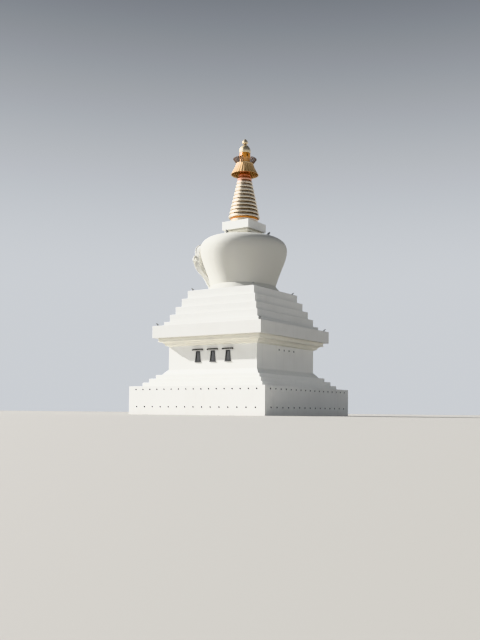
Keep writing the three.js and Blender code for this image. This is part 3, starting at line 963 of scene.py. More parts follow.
def build_vents():
    """A dark sleeve with a back plate in each air hole of the side walls."""
    face = level("right_wall")[0]
    square = [(VENT_HALF * x, VENT_HALF * y) for x, y in SQUARE]
    inner = [(VENT_BORE_SHARE * x, VENT_BORE_SHARE * y) for x, y in square]
    shape = bmesh.new()
    add_frame(shape, square, inner, 0.0, VENT_DEPTH)
    add_prism(shape, inner, VENT_DEPTH - VENT_BACK, VENT_DEPTH)
    places = [
        ((side * face, n * VENT_SPACING, VENT_HEIGHT), side * math.pi / 2)
        for side in (-1, 1)
        for n in (-1.5, -0.5, 0.5, 1.5)
    ]
    add_copies("air_vents", mesh_of(shape, "vent"), places, "pipe_grey", "charcoal_trim")


def build_foot_moulding(masonry):
    """The splay between the upper step and the hall's walls, with a fillet over and under it."""
    half, low, high = level("wall_base_moulding")
    wall = level("front_wall")[0]
    inner = wall - WALL_THICKNESS
    splay = [(half - 0.05, low + 0.11), (half - 0.18, low + 0.30), (wall + 0.06, high - 0.09)]
    profile = [(inner, low), (half, low), (half, low + 0.09), *eased(splay)]
    profile += [(wall + 0.06, high - 0.06), (wall, high - 0.04), (wall, high), (inner, high)]
    edge = masonry.edge_round / 2
    add_square("foot_moulding", "wall_base_moulding", profile, "lime_plaster", edge, closed=True)


def window_outline(margin):
    """A window's outline as (x, z) points, drawn in by a margin."""
    foot, head = WINDOW_FOOT_HALF - margin, WINDOW_HEAD_HALF - margin
    low, high = WINDOW_FOOT + margin, WINDOW_HEAD - margin
    return [(-foot, low), (foot, low), (head, high), (-head, high)]


def window_places():
    """Where the middle of each window meets the outer face of its wall."""
    out = level("front_wall")[0]
    return [
        turned_place(turn, WINDOW_OFFSET + n * WINDOW_SPACING, out, 0)
        for turn in (0.0, math.pi)
        for n in (-1, 0, 1)
    ]


def surround_mesh():
    """A splayed frame with a stop for the pane, and a sill that sheds water."""
    low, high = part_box("window_surround_front_middle")
    sill_half = (high.x - low.x) / 2
    front, back = -0.09, high.y + level("front_wall")[0]
    shape = bmesh.new()
    add_frame(shape, window_outline(0), window_outline(WINDOW_RAIL), -0.03, back)
    add_frame(shape, window_outline(0.03), window_outline(WINDOW_RAIL + 0.03), 0.07, back - 0.02)
    rough = new_piece("surround_rough", mesh_of(shape, "surround"))
    soften(rough, 0.008)
    slope = [(front, low.z), (0.02, low.z), (0.02, low.z + 0.10), (front, low.z + 0.065)]
    sill = bmesh.new()
    add_prism(sill, slope, -sill_half, sill_half)
    sill.transform(SWAP_XY)
    shape = bmesh.new()
    shape.from_mesh(settled(rough, "surround"))
    shape.from_mesh(mesh_of(sill, "sill"))
    return mesh_of(shape, "surround")


def pane_mesh():
    """The pane, with a hair's gap to the rails round it."""
    shape = bmesh.new()
    add_prism(shape, window_outline(WINDOW_RAIL + 0.004), 0.04, 0.065)
    return mesh_of(shape, "pane")


def mullion_mesh():
    """The upright that parts the pane's two lights, with a raised bead down its middle."""
    foot, top = WINDOW_FOOT + WINDOW_RAIL, WINDOW_HEAD - WINDOW_RAIL
    shape = bmesh.new()
    add_block(shape, (-0.034, 0.022, foot), (0.034, 0.038, top))
    add_block(shape, (-0.014, 0.010, foot), (0.014, 0.022, top))
    return mesh_of(shape, "mullion")


def hood_mesh():
    """A shallow sheet-metal hood: a sloping roof with a lip, two cheeks and brackets."""
    low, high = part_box("window_hood_front_middle")
    out = low.y + level("front_wall")[0]
    half = (high.x - low.x) / 2
    fall, plate = 0.09, 0.022
    back, under, lip = high.z - plate, high.z - fall - plate, low.z + 0.035
    roof = [(0.0, back), (0.0, high.z), (out, high.z - fall), (out, lip)]
    roof += [(out + plate, lip), (out + plate, under)]
    cheek = [(0.0, low.z), (0.0, back), (out + plate, under), (out + plate, low.z)]
    bracket = [(0.0, low.z + 0.03), (0.0, back), (out * 0.8, under), (out * 0.8, low.z + 0.07)]
    shape = bmesh.new()
    add_prism(shape, roof, -half, half)
    for side in (-half, half - plate):
        add_prism(shape, cheek, side, side + plate)
    for middle in (-half * 0.55, half * 0.55):
        add_prism(shape, bracket, middle - 0.02, middle + 0.02)
    shape.transform(SWAP_XY)
    return mesh_of(shape, "hood")


def window_nodes(part):
    return [
        f"window_{part}_{wall}_{side}"
        for wall in ("front", "back")
        for side in ("left", "middle", "right")
    ]


def build_windows():
    """Six copies each of the surround, the pane, the hood and the mullion."""
    for name, mesh, material, slot, part in (
        ("window_frames", surround_mesh(), "charcoal_paint", "charcoal_trim", "surround"),
        ("window_glazing", pane_mesh(), "window_glass", "window_pane", "pane"),
        ("window_canopies", hood_mesh(), "hood_paint", "charcoal_trim", "hood"),
        ("window_mullions", mullion_mesh(), "mullion_paint", "charcoal_trim", None),
    ):
        nodes = window_nodes(part) if part else ()
        add_copies(name, mesh, window_places(), material, slot, *nodes)


# The cornice and the terraces

def build_cornice(masonry):
    """The cove and its fascia, with a bead and a fillet in the cove, under the wide slab."""
    fascia, low, high = level("cornice_moulding")
    wall = level("front_wall")[0]
    cove = [
        (-0.3, 0.0), (0.02, 0.0), (0.30, 0.10), (0.34, 0.12), (0.35, 0.15), (0.33, 0.17),
        *eased([(0.36, 0.20), (0.38, 0.28), (0.43, 0.34)]), (0.50, 0.345), (0.50, 0.39),
        *eased([(0.52, 0.41), (0.60, 0.465), (0.74, 0.49)]), (0.76, 0.50),
    ]
    profile = [(wall + out, low + up) for out, up in cove]
    profile += [(fascia, low + 0.50), (fascia, low + 0.60), (fascia - 0.03, low + 0.62)]
    profile += [(fascia - 0.03, high), (wall - 0.3, high)]
    edge = masonry.edge_round / 3
    add_square("cornice_cove", "cornice_moulding", profile, "cove_plaster", edge)
    build_course("cornice_top", "cornice_slab", "cornice_plaster", masonry, drip=0.04)


def build_terraces(masonry):
    for n in range(1, 6):
        build_course(f"terrace_course_{n}", f"terrace_{n}", "terrace_plaster", masonry)


# The vase and the niche

def build_vase():
    """The round foot, with its upper edge eased, and the vase."""
    foot = turned_profile("vase_foot")
    edge, shoulder = foot[:2]
    profile = [edge, (shoulder[0], shoulder[1] - 0.02), (shoulder[0] - 0.015, shoulder[1])]
    mesh = turned("vase_plinth", profile + eased(foot[1:])[1:], ROUND_SIDES)
    finish(new_piece("vase_plinth", mesh, "vase_plaster"), "white_plaster", "vase_foot")
    mesh = turned("vase_bowl", eased(turned_profile("vase"), 5), ROUND_SIDES)
    finish(new_piece("vase_bowl", mesh, "vase_plaster"), "white_plaster", "vase")


def niche_front(height):
    """How far out the niche's face is at a height."""
    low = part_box("niche")[0]
    lean = max(0.0, NICHE_TAPER_HIGH - height) / (NICHE_TAPER_HIGH - low.z)
    return low.x + lean * (-NICHE_FOOT_REACH - low.x)


def niche_outline():
    """The niche's outline as (y, z) points, from the apex round to the apex."""
    side = eased(UPPER_LOBE, 4)[:-1] + eased(LOWER_LOBE, 4)[:-1] + eased(NICHE_TAPER, 3)
    return side + [(-y, z) for y, z in reversed(side[1:])]


def inset(outline, by):
    """An outline of (y, z) points moved inwards."""
    count = len(outline)
    moved = []
    for i, (y, z) in enumerate(outline):
        before, after = Vector(outline[i - 1]), Vector(outline[(i + 1) % count])
        along = (after - before).normalized()
        inwards = Vector((along.y, -along.x))
        if inwards.dot(Vector((0, NICHE_MIDDLE)) - Vector((y, z))) < 0:
            inwards = -inwards
        moved.append((y + inwards.x * by, z + inwards.y * by))
    return moved


def close_face(shape, loop, outline):
    """Closes a loop of the leaning face with two flat faces that meet where it starts to lean."""
    first, last = [i for i, (_, z) in enumerate(outline) if abs(z - NICHE_TAPER_HIGH) < TOUCH]
    shape.faces.new(loop[last:] + loop[: first + 1])
    shape.faces.new(loop[first : last + 1])


def niche_plate():
    """The lobed front plate, with rounded edges."""
    outline = niche_outline()
    rims = ((0.03, 0.0), (0.0, 0.03), (0.0, NICHE_PLATE - 0.02), (0.02, NICHE_PLATE))
    shape = bmesh.new()
    loops = []
    for by, back in rims:
        points = inset(outline, by) if by else outline
        loops.append([shape.verts.new((niche_front(z) + back, y, z)) for y, z in points])
    skin(shape, loops)
    close_face(shape, loops[0], outline)
    close_face(shape, loops[-1], outline)
    return mesh_of(shape, "niche_plate")


def niche_body():
    """The plain body behind the plate. It narrows where it nears the vase."""
    outline = [*NICHE_SIDE, *((-y, z) for y, z in reversed(NICHE_SIDE[1:]))]
    shape = bmesh.new()
    loops = [
        [shape.verts.new((niche_front(z) + depth, y * share, z)) for y, z in outline]
        for depth, share in NICHE_NARROWING
    ]
    back = [(-NICHE_BACK_REACH, y * NICHE_BACK_SHARE, z) for y, z in outline]
    loops.append([shape.verts.new(point) for point in back])
    skin(shape, loops)
    close_face(shape, loops[0], outline)
    shape.faces.new(loops[-1])
    return mesh_of(shape, "niche_body")


def niche_hollows(reach):
    """What is cut out of the niche: the arched recess, and the eyes of the two volutes."""
    shape = bmesh.new()
    add_prism(shape, arch_outline(), -reach - 0.2, -reach + RECESS_DEPTH)
    shape.transform(Matrix.Rotation(-math.pi / 2, 4, "Z"))
    for side in (-1, 1):
        eye = bmesh.new()
        add_run(eye, [(VOLUTE["eye"], -0.3), (VOLUTE["eye"], 0.5)], unit_circle(24))
        eye.transform(Matrix.Rotation(math.pi / 2, 4, "Y"))
        eye.transform(Matrix.Translation((-reach, side * VOLUTE["out"], VOLUTE["height"])))
        shape.from_mesh(mesh_of(eye, "eye"))
    return mesh_of(shape, "niche_hollows")


def volute_rings(reach):
    """A rolled ring round each eye, on both faces of the plate."""
    across, up, radius = VOLUTE["out"], VOLUTE["height"], VOLUTE["radius"]
    paths = [
        [(x, side * across + radius * y, up + radius * z) for y, z in unit_circle(36)]
        for x in (-reach, -reach + NICHE_PLATE)
        for side in (-1, 1)
    ]
    return tube("niche_volutes", paths, VOLUTE["roll"], cyclic=True)


def arch_outline(margin=0.0, steps=24):
    """The recess's outline as (y, z) points: a round arch on straight sides."""
    half = RECESS_HALF + margin
    turns = [math.pi * n / steps for n in range(steps + 1)]
    head = [(half * math.cos(t), RECESS_SPRING + half * math.sin(t)) for t in turns]
    return [(half, RECESS_FOOT - margin), *head, (-half, RECESS_FOOT - margin)]


def build_niche():
    """The niche, cut from its plate and body, and its rolled edge, arch rim and volutes."""
    reach = -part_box("niche")[0].x
    hollow = new_piece("niche_hollows", niche_hollows(reach))
    body = new_piece("niche_body", niche_body())
    rough = new_piece("niche_rough", niche_plate())
    combine(rough, body, "UNION")
    combine(rough, hollow, "DIFFERENCE")
    mesh = smooth(settled(rough, "niche_shrine"), 35)
    finish(new_piece("niche_shrine", mesh, "shrine_plaster"), "white_plaster", "niche")
    bpy.data.objects.remove(hollow)
    bpy.data.objects.remove(body)
    rim = [(niche_front(z) - 0.005, y, z) for y, z in inset(niche_outline(), 0.11)]
    arch = [(-reach, y, z) for y, z in arch_outline(0.06)]
    for name, mesh in (
        ("niche_rim", tube("niche_rim", [rim], 0.05, cyclic=True)),
        ("niche_arch", tube("niche_arch", [arch], 0.055)),
        ("niche_volutes", volute_rings(reach)),
    ):
        finish(new_piece(name, mesh, "shrine_plaster"), "white_plaster")


def build_harmika(masonry):
    """The square block and the recessed neck under it, with a square band round the neck."""
    band, low, high = level("harmika_neck")
    neck = band - 0.21
    band_low, band_high = high - 0.36, high - 0.18
    profile = [
        (neck + 0.05, low), (neck + 0.05, low + 0.06), (neck, low + 0.08),
        (neck, band_low - 0.02), (band, band_low), (band, band_high), (neck, band_high + 0.02),
        (neck, high),
    ]
    edge = masonry.edge_round / 3
    # The neck's cream is painted light thrown up from the vase's top.
    add_square("harmika_foot", "harmika_neck", profile, "cove_plaster", edge)
    build_course("harmika_cube", "harmika_block", "lime_plaster", masonry, drip=0.03)


# The spire

def paint_faces(mesh, wanted):
    """Gives a mesh's second material to the faces that a test picks."""
    for face in mesh.polygons:
        if wanted(face):
            face.material_index = 1


def build_spire_drum():
    """The band under the rings: a pale rolled foot and a short upright amber face, whose amber is
    painted reflection.
    """
    radius, low, high = level("spire_base")
    inner = radius - 0.04
    roll = [
        (radius - 0.10 + 0.10 * math.cos(t), low + 0.095 + 0.095 * math.sin(t))
        for t in (math.radians(a) for a in range(-90, 91, 15))
    ]
    amber_low = high - 0.16
    profile = [(0, low), *roll, (inner - 0.02, low + 0.20), (inner - 0.02, amber_low - 0.02)]
    profile += [(inner - 0.05, amber_low), (inner - 0.05, high - 0.04), (inner, high - 0.03)]
    profile += [(inner, high), (0, high)]
    # Painted shade in the step at the foot of the amber face.
    recess = [0.5 if point == (inner - 0.05, amber_low) else 0.0 for point in profile]
    mesh = turned("spire_drum", profile, recess=recess)
    drum = new_piece("spire_drum", mesh, "amber_gilding", "ring_gilding")
    paint_faces(mesh, lambda face: face.center.z < amber_low)
    finish(drum, "gilding", "spire_base")


def ring_profile(radius, pitch):
    """One ring: an undercut groove, a rounded lip low down, and a shoulder that eases in."""
    groove = radius - 0.20
    lip = eased([
        (groove + 0.02, 0.0), (radius - 0.06, 0.012), (radius - 0.008, 0.045), (radius, 0.11),
        (radius - 0.012, 0.19), (radius - 0.035, 0.25), (radius - 0.09, 0.295),
        (groove - 0.02, 0.33),
    ], 3)
    head = pitch - 0.03
    profile = [(0, -0.02), (groove, -0.02), *lip, (groove - 0.055, head), (0, head)]
    # Painted shade: the deeper a point lies in the groove, the darker it is made, up to a share of
    # 0.6.
    deep = [min(0.6, max(0.0, (radius - 0.06 - r) / 0.15)) for r, _ in profile]
    return profile, deep


def build_rings(spire):
    """The stack of rings, and the neck that carries them up into the parasol."""
    first, _, high = level("spire_rings")
    ring_low = level("spire_base")[2] + 0.04
    profile, deep = ring_profile(first, spire.ring_pitch)
    raised = [(r, z + ring_low) for r, z in profile]
    ring = run_round("ring", raised, unit_circle(SPIRE_SIDES), recess=deep)
    values = {
        "Ring Count": spire.ring_count,
        "Ring Pitch": spire.ring_pitch,
        "First Radius": first,
        "Taper": spire.ring_taper,
        "Material": bpy.data.materials["ring_gilding"],
    }
    mesh = smooth(grown("spire_disks", ring, "ring_stack", values), 50)
    finish(new_piece("spire_disks", mesh), "gilding", "spire_rings")
    neck = first - spire.ring_count * spire.ring_taper - 0.06
    foot = ring_low + spire.ring_count * spire.ring_pitch - 0.1
    mesh = turned("spire_neck", [(0, foot), (neck, foot), (neck, high), (0, high)])
    finish(new_piece("spire_neck", mesh, "ring_gilding"), "gilding")


def fluted_circle(count, steps=8):
    """Unit points round a circle with shallow flutes. A flute's floor lies at +X."""
    turns = [math.tau * n / (count * steps) for n in range(count * steps)]
    reaches = [1 - FLUTE_DEPTH / 2 * (1 + math.cos(count * turn)) for turn in turns]
    return [(r * math.cos(t), r * math.sin(t)) for r, t in zip(reaches, turns)]


def parasol_radius(share):
    """The parasol's outer radius, from its rim at 0 to its head at 1."""
    rim = level("parasol")[0]
    head = WING_FOOT_RADIUS
    return head + (rim - head) * (1 - share) ** PARASOL_FLARE


def build_parasol(spire):
    """The flared and fluted shell, with an amber lining and ribs inside."""
    rim, low, high = level("parasol")
    shares = [n / 16 for n in range(17)]
    outside = [(parasol_radius(share), low + (high - low) * share) for share in shares]
    inside = [(r - PARASOL_WALL, z) for r, z in outside if low + 0.02 < z < high - 0.08]
    profile = [(0, high - 0.09), *reversed(inside), (rim - PARASOL_WALL, low + 0.004)]
    profile += [(rim - 0.012, low), (rim, low + 0.02), *outside[1:], (0, high)]
    mesh = smooth(run_round("parasol_shell", profile, fluted_circle(spire.rib_count)))
    shell = new_piece("parasol_shell", mesh, "parasol_gilding", "lining_gilding")
    paint_faces(mesh, lambda face: face.normal.z < 0 and face.center.z > low + 0.02)
    finish(shell, "gilding", "parasol")
    rib = tube("rib", [[(r * (1 - FLUTE_DEPTH) - 0.012, 0.0, z) for r, z in inside]], 0.028)
    # The ribs take the dark lattice gilding: partly tarnish, partly painted shade inside the
    # parasol.
    mesh = copies("parasol_ribs", rib, round_places(spire.rib_count), "lattice_gilding")
    finish(new_piece("parasol_ribs", smooth(mesh, 60)), "gilding")


def lattice_cell():
    """One flat cell: a square with a smaller square cut out of it."""
    shape = bmesh.new()
    skin(shape, [
        [shape.verts.new((half * x, half * y, 0)) for x, y in SQUARE]
        for half in (0.5, LATTICE_HOLE)
    ])
    return plain_mesh(shape, "lattice_cell")


def build_wings(spire):
    """Two pierced wings on a round plate, each in a tubular border."""
    rim, low, high = level("crown_wings")
    foot, foot_z = WING_FOOT_RADIUS - 0.03, low + 0.06
    head, head_z = rim - 0.03, high - 0.02
    values = {
        "Columns": spire.lattice_columns,
        "Rows": spire.lattice_rows,
        "Sweep": WING_SWEEP,
        "Middle Radius": (foot + head) / 2,
        "Radius Span": head - foot,
        "Middle Height": (foot_z + head_z) / 2,
        "Height Span": head_z - foot_z,
        "Material": bpy.data.materials["lattice_gilding"],
    }
    shares = [n / 24 - 0.5 for n in range(25)]
    borders = []
    for side, name in enumerate(("wing_lattice_right", "wing_lattice_left")):
        middle = WING_GAP_TURN + math.pi / 2 + side * math.pi
        values["Middle Angle"] = middle
        lattice = new_piece(name, grown(name, lattice_cell(), "cone_lattice", values))
        thicken(lattice, 0.04)
        wing = new_piece(name, settled(lattice, name))
        finish(wing, "gilding", *(["crown_wings"] if side == 0 else []))
        top = [(head, middle + s * WING_SWEEP, head_z) for s in shares]
        bottom = [(foot, middle - s * WING_SWEEP, foot_z) for s in shares]
        borders.append([(r * math.cos(a), r * math.sin(a), z) for r, a, z in top + bottom])
    mesh = tube("wing_borders", borders, 0.028, cyclic=True)
    finish(new_piece("wing_borders", mesh, "lattice_gilding"), "gilding")
    plate = [(0, low), (foot + 0.01, low), (foot + 0.03, low + 0.03), (foot + 0.01, foot_z)]
    mesh = turned("crown_plate", [*plate, (0, foot_z)])
    finish(new_piece("crown_plate", mesh, "gilded_sheet"), "gilding")


def petal_mesh(radius, foot, head, half_turn, steps=8):
    """One petal that hangs on the outside of the column, at +X, with its point down."""
    shape = bmesh.new()
    rows = []
    for n in range(steps + 1):
        share = n / steps
        spread = half_turn * (0.02 + 0.98 * math.sin(math.pi / 2 * share) ** 0.8)
        out = radius + 0.04 + 0.03 * (1 - share) + 0.03 * math.sin(math.pi * share)
        height = foot + (head - foot) * share
        turns = [spread * k / 2 for k in range(-2, 3)]
        rows.append([
            shape.verts.new((out * math.cos(t), out * math.sin(t), height)) for t in turns
        ])
    skin(shape, rows, closed=False)
    petal = new_piece("petal_rough", plain_mesh(shape, "petal"))
    thicken(petal, 0.02, -1.0)
    return settled(petal, "petal")


def build_column(spire):
    """The column under the orb, and the collar of petals on it."""
    radius, low, high = level("crown_drum")
    collar = low + 0.86
    head = radius - 0.14
    profile = [(0, low), (radius, low)]
    profile += eased([
        (radius, low + 0.02), (radius - 0.05, low + 0.20), (radius - 0.09, low + 0.42),
        (radius - 0.12, collar - 0.08), (radius - 0.125, collar - 0.04),
    ])
    profile += [(radius - 0.10, collar - 0.02), (radius - 0.10, collar + 0.03)]
    profile += [(head, collar + 0.05), (head, high), (0, high)]
    mesh = turned("crown_column", profile)
    column = new_piece("crown_column", mesh, "column_gilding", "lattice_gilding")
    # The column's head above the collar takes the dark lattice gilding as painted shade under the
    # orb.
    paint_faces(mesh, lambda face: face.center.z > collar - 0.03)
    finish(column, "gilding", "crown_drum")
    count = spire.petal_count
    petal = petal_mesh(radius - 0.15, collar - 0.30, high - 0.03, math.pi / count * 0.92)
    # The petals take the amber: painted reflection of the gilding round them.
    mesh = copies("collar_petals", petal, round_places(count), "amber_gilding")
    finish(new_piece("collar_petals", smooth(mesh, 60)), "gilding")


def build_finial():
    """The domed orb, and the jewel on its waist, which is darkened as painted shade."""
    orb = turned_profile("orb")
    body = [(0, orb[0][1]), orb[0], *eased(orb[1:]), (0, orb[-1][1])]
    mesh = turned("orb_ball", body, sharp=60)
    finish(new_piece("orb_ball", mesh, "gilded_sheet"), "gilding", "orb")
    jewel = turned_profile("jewel")
    body = [(0, jewel[0][1]), *eased([*jewel, (0, level("jewel")[2])])]
    waist = jewel[0][1] + 0.14
    # Painted shade on the jewel's waist.
    recess = [0.8 if z < waist else 0.0 for _, z in body]
    mesh = turned("jewel_tip", body, sharp=60, recess=recess)
    finish(new_piece("jewel_tip", mesh, "gilded_sheet"), "gilding", "jewel")


# Lamps

def lamp_places():
    """Every lamp's foot and turn: a lamp's own +Y looks at the axis."""
    spots = []
    for node in ("cornice_slab", "terrace_5"):
        half, _, high = level(node)
        place = half - LAMP_INSET
        spots += [(x * place, y * place, high) for x, y in SQUARE]
    spots += [point for point, _ in side_places(0, SHOULDER_LAMP_RADIUS, SHOULDER_LAMP_HEIGHT)]
    return [((x, y, z), math.atan2(-y, -x) - math.pi / 2) for x, y, z in spots]


def lamp_head(parts):
    """A bmesh of boxes in the head's own frame, tipped back and set on the stand."""
    tipped = Matrix.Translation((0, 0, LAMP_STAND)) @ Matrix.Rotation(LAMP_TIP, 4, "X")
    shape = bmesh.new()
    for low, high in parts:
        add_block(shape, low, high, tipped)
    return shape


def case_mesh():
    """The finned case of a lamp's head."""
    wide, tall, deep = LAMP_HALF_WIDTH, LAMP_HALF_HEIGHT, LAMP_HALF_DEPTH
    fins = [
        ((-wide + 0.03, -deep, z - 0.004), (wide - 0.03, -0.015, z + 0.004))
        for z in [(n / 5 - 1) * (tall - 0.03) for n in range(11)]
    ]
    case = [((-wide + 0.01, -0.018, -tall + 0.01), (wide - 0.01, deep - 0.028, tall - 0.01))]
    return mesh_of(lamp_head(case + fins), "case")


def housing_mesh():
    """The rim round a lamp's glass, and the yoke and foot plate that carry the head."""
    wide, tall, deep = LAMP_HALF_WIDTH, LAMP_HALF_HEIGHT, LAMP_HALF_DEPTH
    edge, front, back = LAMP_RIM, deep - 0.027, deep
    rims = [
        ((-wide, front, -tall), (wide, back, -tall + edge)),
        ((-wide, front, tall - edge), (wide, back, tall)),
        ((-wide, front, -tall + edge), (-wide + edge, back, tall - edge)),
        ((wide - edge, front, -tall + edge), (wide, back, tall - edge)),
    ]
    shape = lamp_head(rims)
    add_block(shape, (-0.09, -0.063, -0.12), (0.09, 0.063, 0.02))
    add_block(shape, (-wide, -0.015, 0.045), (wide, 0.015, 0.058))
    add_block(shape, (-0.025, -0.025, 0.0), (0.025, 0.025, 0.05))
    for side in (-1, 1):
        low, high = sorted((side * (wide + 0.002), side * (wide - 0.010)))
        add_block(shape, (low, -0.015, 0.045), (high, 0.015, LAMP_STAND + 0.02))
    rough = new_piece("housing_rough", mesh_of(shape, "housing"))
    soften(rough, 0.003)
    return settled(rough, "housing")


def lamp_glass_mesh():
    """The glass inside a lamp's rim."""
    wide, tall = LAMP_HALF_WIDTH - LAMP_RIM, LAMP_HALF_HEIGHT - LAMP_RIM
    pane = ((-wide, LAMP_HALF_DEPTH - 0.015, -tall), (wide, LAMP_HALF_DEPTH - 0.008, tall))
    return mesh_of(lamp_head([pane]), "lamp_glass")


def build_lamps():
    """Twelve copies each of the housing, the case and the glass."""
    sides = ("front_left", "front_right", "back_right", "back_left")
    nodes = [f"lamp_{where}_{side}" for where in ("cornice", "terrace") for side in sides]
    nodes += [f"lamp_vase_{side}" for side in ("front", "right", "back", "left")]
    places = lamp_places()
    add_copies("lamp_housings", housing_mesh(), places, "lamp_paint", "lamp_housing", *nodes)
    add_copies("lamp_cases", case_mesh(), places, "lamp_casting", "lamp_housing")
    add_copies("lamp_glasses", lamp_glass_mesh(), places, "lamp_glass", "window_pane")


# The stage

def add_light(name, azimuth, elevation, strength, softness):
    """A distant light from an azimuth and an elevation in degrees."""
    a, e = math.radians(azimuth), math.radians(elevation)
    towards = Vector((math.sin(a) * math.cos(e), -math.cos(a) * math.cos(e), math.sin(e)))
    light = bpy.data.lights.new(name, "SUN")
    light.energy = strength
    light.angle = softness
    lamp = bpy.data.objects.new(name, light)
    lamp.rotation_euler = towards.to_track_quat("Z", "Y").to_euler()
    lamp.location = towards * LIGHT_DISTANCE
    bpy.context.scene.collection.objects.link(lamp)


def add_camera():
    """The photograph's own camera: its place, its turn and its off-centre lens."""
    azimuth, yaw, pitch, roll = (
        math.radians(a) for a in (CAMERA_AZIMUTH, CAMERA_YAW, CAMERA_PITCH, CAMERA_ROLL)
    )
    data = bpy.data.cameras.new("photo_camera")
    data.sensor_width = SENSOR_WIDTH
    data.lens = FOCAL_PIXELS * SENSOR_WIDTH / PHOTO_HEIGHT
    data.shift_x = (PHOTO_WIDTH / 2 - CENTRE_PIXELS[0]) / PHOTO_HEIGHT
    data.shift_y = (CENTRE_PIXELS[1] - PHOTO_HEIGHT / 2) / PHOTO_HEIGHT
    data.clip_start, data.clip_end = 1.0, 1000.0
    out = Vector((math.sin(azimuth), -math.cos(azimuth), 0)) * CAMERA_DISTANCE
    turn = Matrix.Rotation(azimuth + yaw, 4, "Z") @ Matrix.Rotation(math.pi / 2 + pitch, 4, "X")
    camera = bpy.data.objects.new("photo_camera", data)
    camera.matrix_world = (
        Matrix.Translation((out.x, out.y, CAMERA_HEIGHT)) @ turn @ Matrix.Rotation(roll, 4, "Z")
    )
    bpy.context.scene.collection.objects.link(camera)
    bpy.context.scene.camera = camera


def add_floor(colour):
    """A plain disk under the part."""
    tree, shader = new_material("studio_floor")
    feed(tree, shader, Base_Color=opaque(colour), Roughness=0.9)
    shape = bmesh.new()
    bmesh.ops.create_circle(shape, cap_ends=True, radius=FLOOR_RADIUS, segments=96)
    floor = new_piece("studio_floor", mesh_of(shape, "studio_floor"), "studio_floor")
    floor.location.z = CAD_BOX[0].z


def add_air(horizon, zenith):
    """A plain backdrop, pale near the floor and deeper overhead."""
    world = bpy.data.worlds.new("studio_air")
    world.use_nodes = True
    tree = world.node_tree
    height = split(tree, add_node(tree, "ShaderNodeTexCoord")["Generated"])["Z"]
    share = mask_between(tree, height, *HAZE_BAND)
    colour = mixed(tree, share, opaque(horizon), opaque(zenith))
    tree.links.new(colour, tree.nodes["Background"].inputs["Color"])
    bpy.context.scene.world = world


# Operators

class STUPA_OT_mix_finishes(bpy.types.Operator):
    """Build the plaster, gilding, paint and glass"""

    bl_idname = "stupa.mix_finishes"
    bl_label = "Mix finishes"

    def execute(self, context):
        mix_finishes(context.scene.stupa_colours, context.scene.stupa_spire.rib_count)
        copies_tree()
        ring_stack_tree()
        lattice_tree()
        return {"FINISHED"}


class STUPA_OT_add_base(bpy.types.Operator):
    """Build the base wall with its weep holes, and the three steps"""

    bl_idname = "stupa.add_base"
    bl_label = "Base and steps"

    def execute(self, context):
        build_base(context.scene.stupa_masonry)
        build_steps(context.scene.stupa_masonry)
        return {"FINISHED"}


class STUPA_OT_add_hall(bpy.types.Operator):
    """Plaster the hall's walls, line their air holes and build the moulding at their foot"""

    bl_idname = "stupa.add_hall"
    bl_label = "Hall"

    def execute(self, context):
        dress_walls()
        build_vents()
        build_foot_moulding(context.scene.stupa_masonry)
        return {"FINISHED"}


class STUPA_OT_add_windows(bpy.types.Operator):
    """Build the six windows: surrounds, panes, mullions and hoods"""

    bl_idname = "stupa.add_windows"
    bl_label = "Windows"

    def execute(self, context):
        build_windows()
        return {"FINISHED"}


class STUPA_OT_add_cornice(bpy.types.Operator):
    """Build the cove and the cornice over the hall"""

    bl_idname = "stupa.add_cornice"
    bl_label = "Cornice"

    def execute(self, context):
        build_cornice(context.scene.stupa_masonry)
        return {"FINISHED"}


class STUPA_OT_add_terraces(bpy.types.Operator):
    """Build the five terraces"""

    bl_idname = "stupa.add_terraces"
    bl_label = "Terraces"

    def execute(self, context):
        build_terraces(context.scene.stupa_masonry)
        return {"FINISHED"}


class STUPA_OT_add_vase(bpy.types.Operator):
    """Build the vase and its foot"""

    bl_idname = "stupa.add_vase"
    bl_label = "Vase"

    def execute(self, context):
        build_vase()
        return {"FINISHED"}


class STUPA_OT_add_niche(bpy.types.Operator):
    """Build the lobed niche on the vase"""

    bl_idname = "stupa.add_niche"
    bl_label = "Niche"

    def execute(self, context):
        build_niche()
        return {"FINISHED"}


class STUPA_OT_add_harmika(bpy.types.Operator):
    """Build the square block over the vase"""

    bl_idname = "stupa.add_harmika"
    bl_label = "Harmika"

    def execute(self, context):
        build_harmika(context.scene.stupa_masonry)
        return {"FINISHED"}


class STUPA_OT_add_rings(bpy.types.Operator):
    """Build the spire's drum and its rings"""

    bl_idname = "stupa.add_rings"
    bl_label = "Spire rings"

    def execute(self, context):
        build_spire_drum()
        build_rings(context.scene.stupa_spire)
        return {"FINISHED"}


class STUPA_OT_add_parasol(bpy.types.Operator):
    """Build the parasol with its ribs"""

    bl_idname = "stupa.add_parasol"
    bl_label = "Parasol"

    def execute(self, context):
        build_parasol(context.scene.stupa_spire)
        return {"FINISHED"}


class STUPA_OT_add_crown(bpy.types.Operator):
    """Build the pierced wings, the column with its collar, the orb and the jewel"""

    bl_idname = "stupa.add_crown"
    bl_label = "Crown"

    def execute(self, context):
        build_wings(context.scene.stupa_spire)
        build_column(context.scene.stupa_spire)
        build_finial()
        return {"FINISHED"}


class STUPA_OT_add_lamps(bpy.types.Operator):
    """Build the twelve floodlights"""

    bl_idname = "stupa.add_lamps"
    bl_label = "Floodlights"

    def execute(self, context):
        build_lamps()
        return {"FINISHED"}


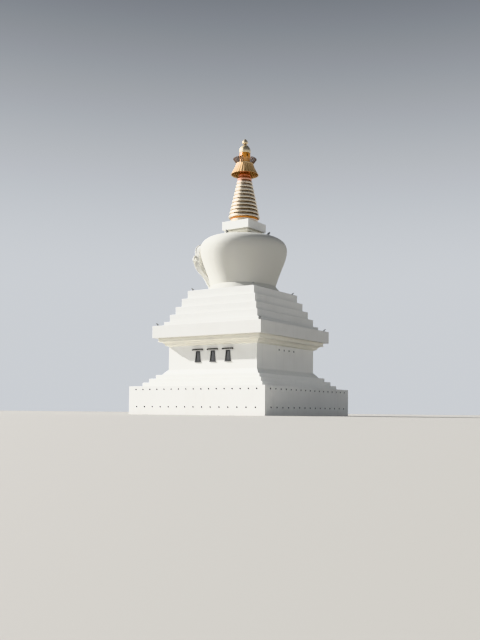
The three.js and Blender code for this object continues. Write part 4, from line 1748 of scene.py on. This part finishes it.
class STUPA_OT_set_stage(bpy.types.Operator):
    """Set the floor, the backdrop, the lights and the camera"""

    bl_idname = "stupa.set_stage"
    bl_label = "Stage"

    def execute(self, context):
        stage = context.scene.stupa_stage
        add_air(stage.horizon, stage.zenith)
        add_floor(stage.floor)
        add_light("key_light", *KEY_FROM, stage.key_strength, stage.key_softness)
        add_light("fill_light", *FILL_FROM, stage.fill_strength, FILL_SOFTNESS)
        add_camera()
        context.scene.view_settings.view_transform = "Khronos PBR Neutral"
        return {"FINISHED"}


class STUPA_PT_panel(bpy.types.Panel):
    """The stupa's pieces and their settings"""

    bl_idname = "STUPA_PT_panel"
    bl_label = "Stupa"
    bl_space_type = "VIEW_3D"
    bl_region_type = "UI"
    bl_category = "Stupa"

    def draw(self, context):
        for group in SETTINGS:
            box = self.layout.box()
            owner = getattr(context.scene, group)
            for name in owner.bl_rna.properties.keys():
                if name not in ("rna_type", "name"):
                    box.prop(owner, name)
        for operator in OPERATORS:
            self.layout.operator(operator.bl_idname)


SETTINGS = {
    "stupa_colours": StupaColours,
    "stupa_masonry": StupaMasonry,
    "stupa_spire": StupaSpire,
    "stupa_stage": StupaStage,
}
OPERATORS = (
    STUPA_OT_mix_finishes,
    STUPA_OT_add_base,
    STUPA_OT_add_hall,
    STUPA_OT_add_windows,
    STUPA_OT_add_cornice,
    STUPA_OT_add_terraces,
    STUPA_OT_add_vase,
    STUPA_OT_add_niche,
    STUPA_OT_add_harmika,
    STUPA_OT_add_rings,
    STUPA_OT_add_parasol,
    STUPA_OT_add_crown,
    STUPA_OT_add_lamps,
    STUPA_OT_set_stage,
)


def register():
    for made in (*SETTINGS.values(), *OPERATORS, STUPA_PT_panel):
        bpy.utils.register_class(made)
    for name, group in SETTINGS.items():
        setattr(bpy.types.Scene, name, bpy.props.PointerProperty(type=group))


def unregister():
    for name in SETTINGS:
        delattr(bpy.types.Scene, name)
    for made in reversed((*SETTINGS.values(), *OPERATORS, STUPA_PT_panel)):
        bpy.utils.unregister_class(made)


def main():
    register()
    for operator in OPERATORS:
        group, name = operator.bl_idname.split(".")
        getattr(getattr(bpy.ops, group), name)()


if __name__ == "__main__":
    main()
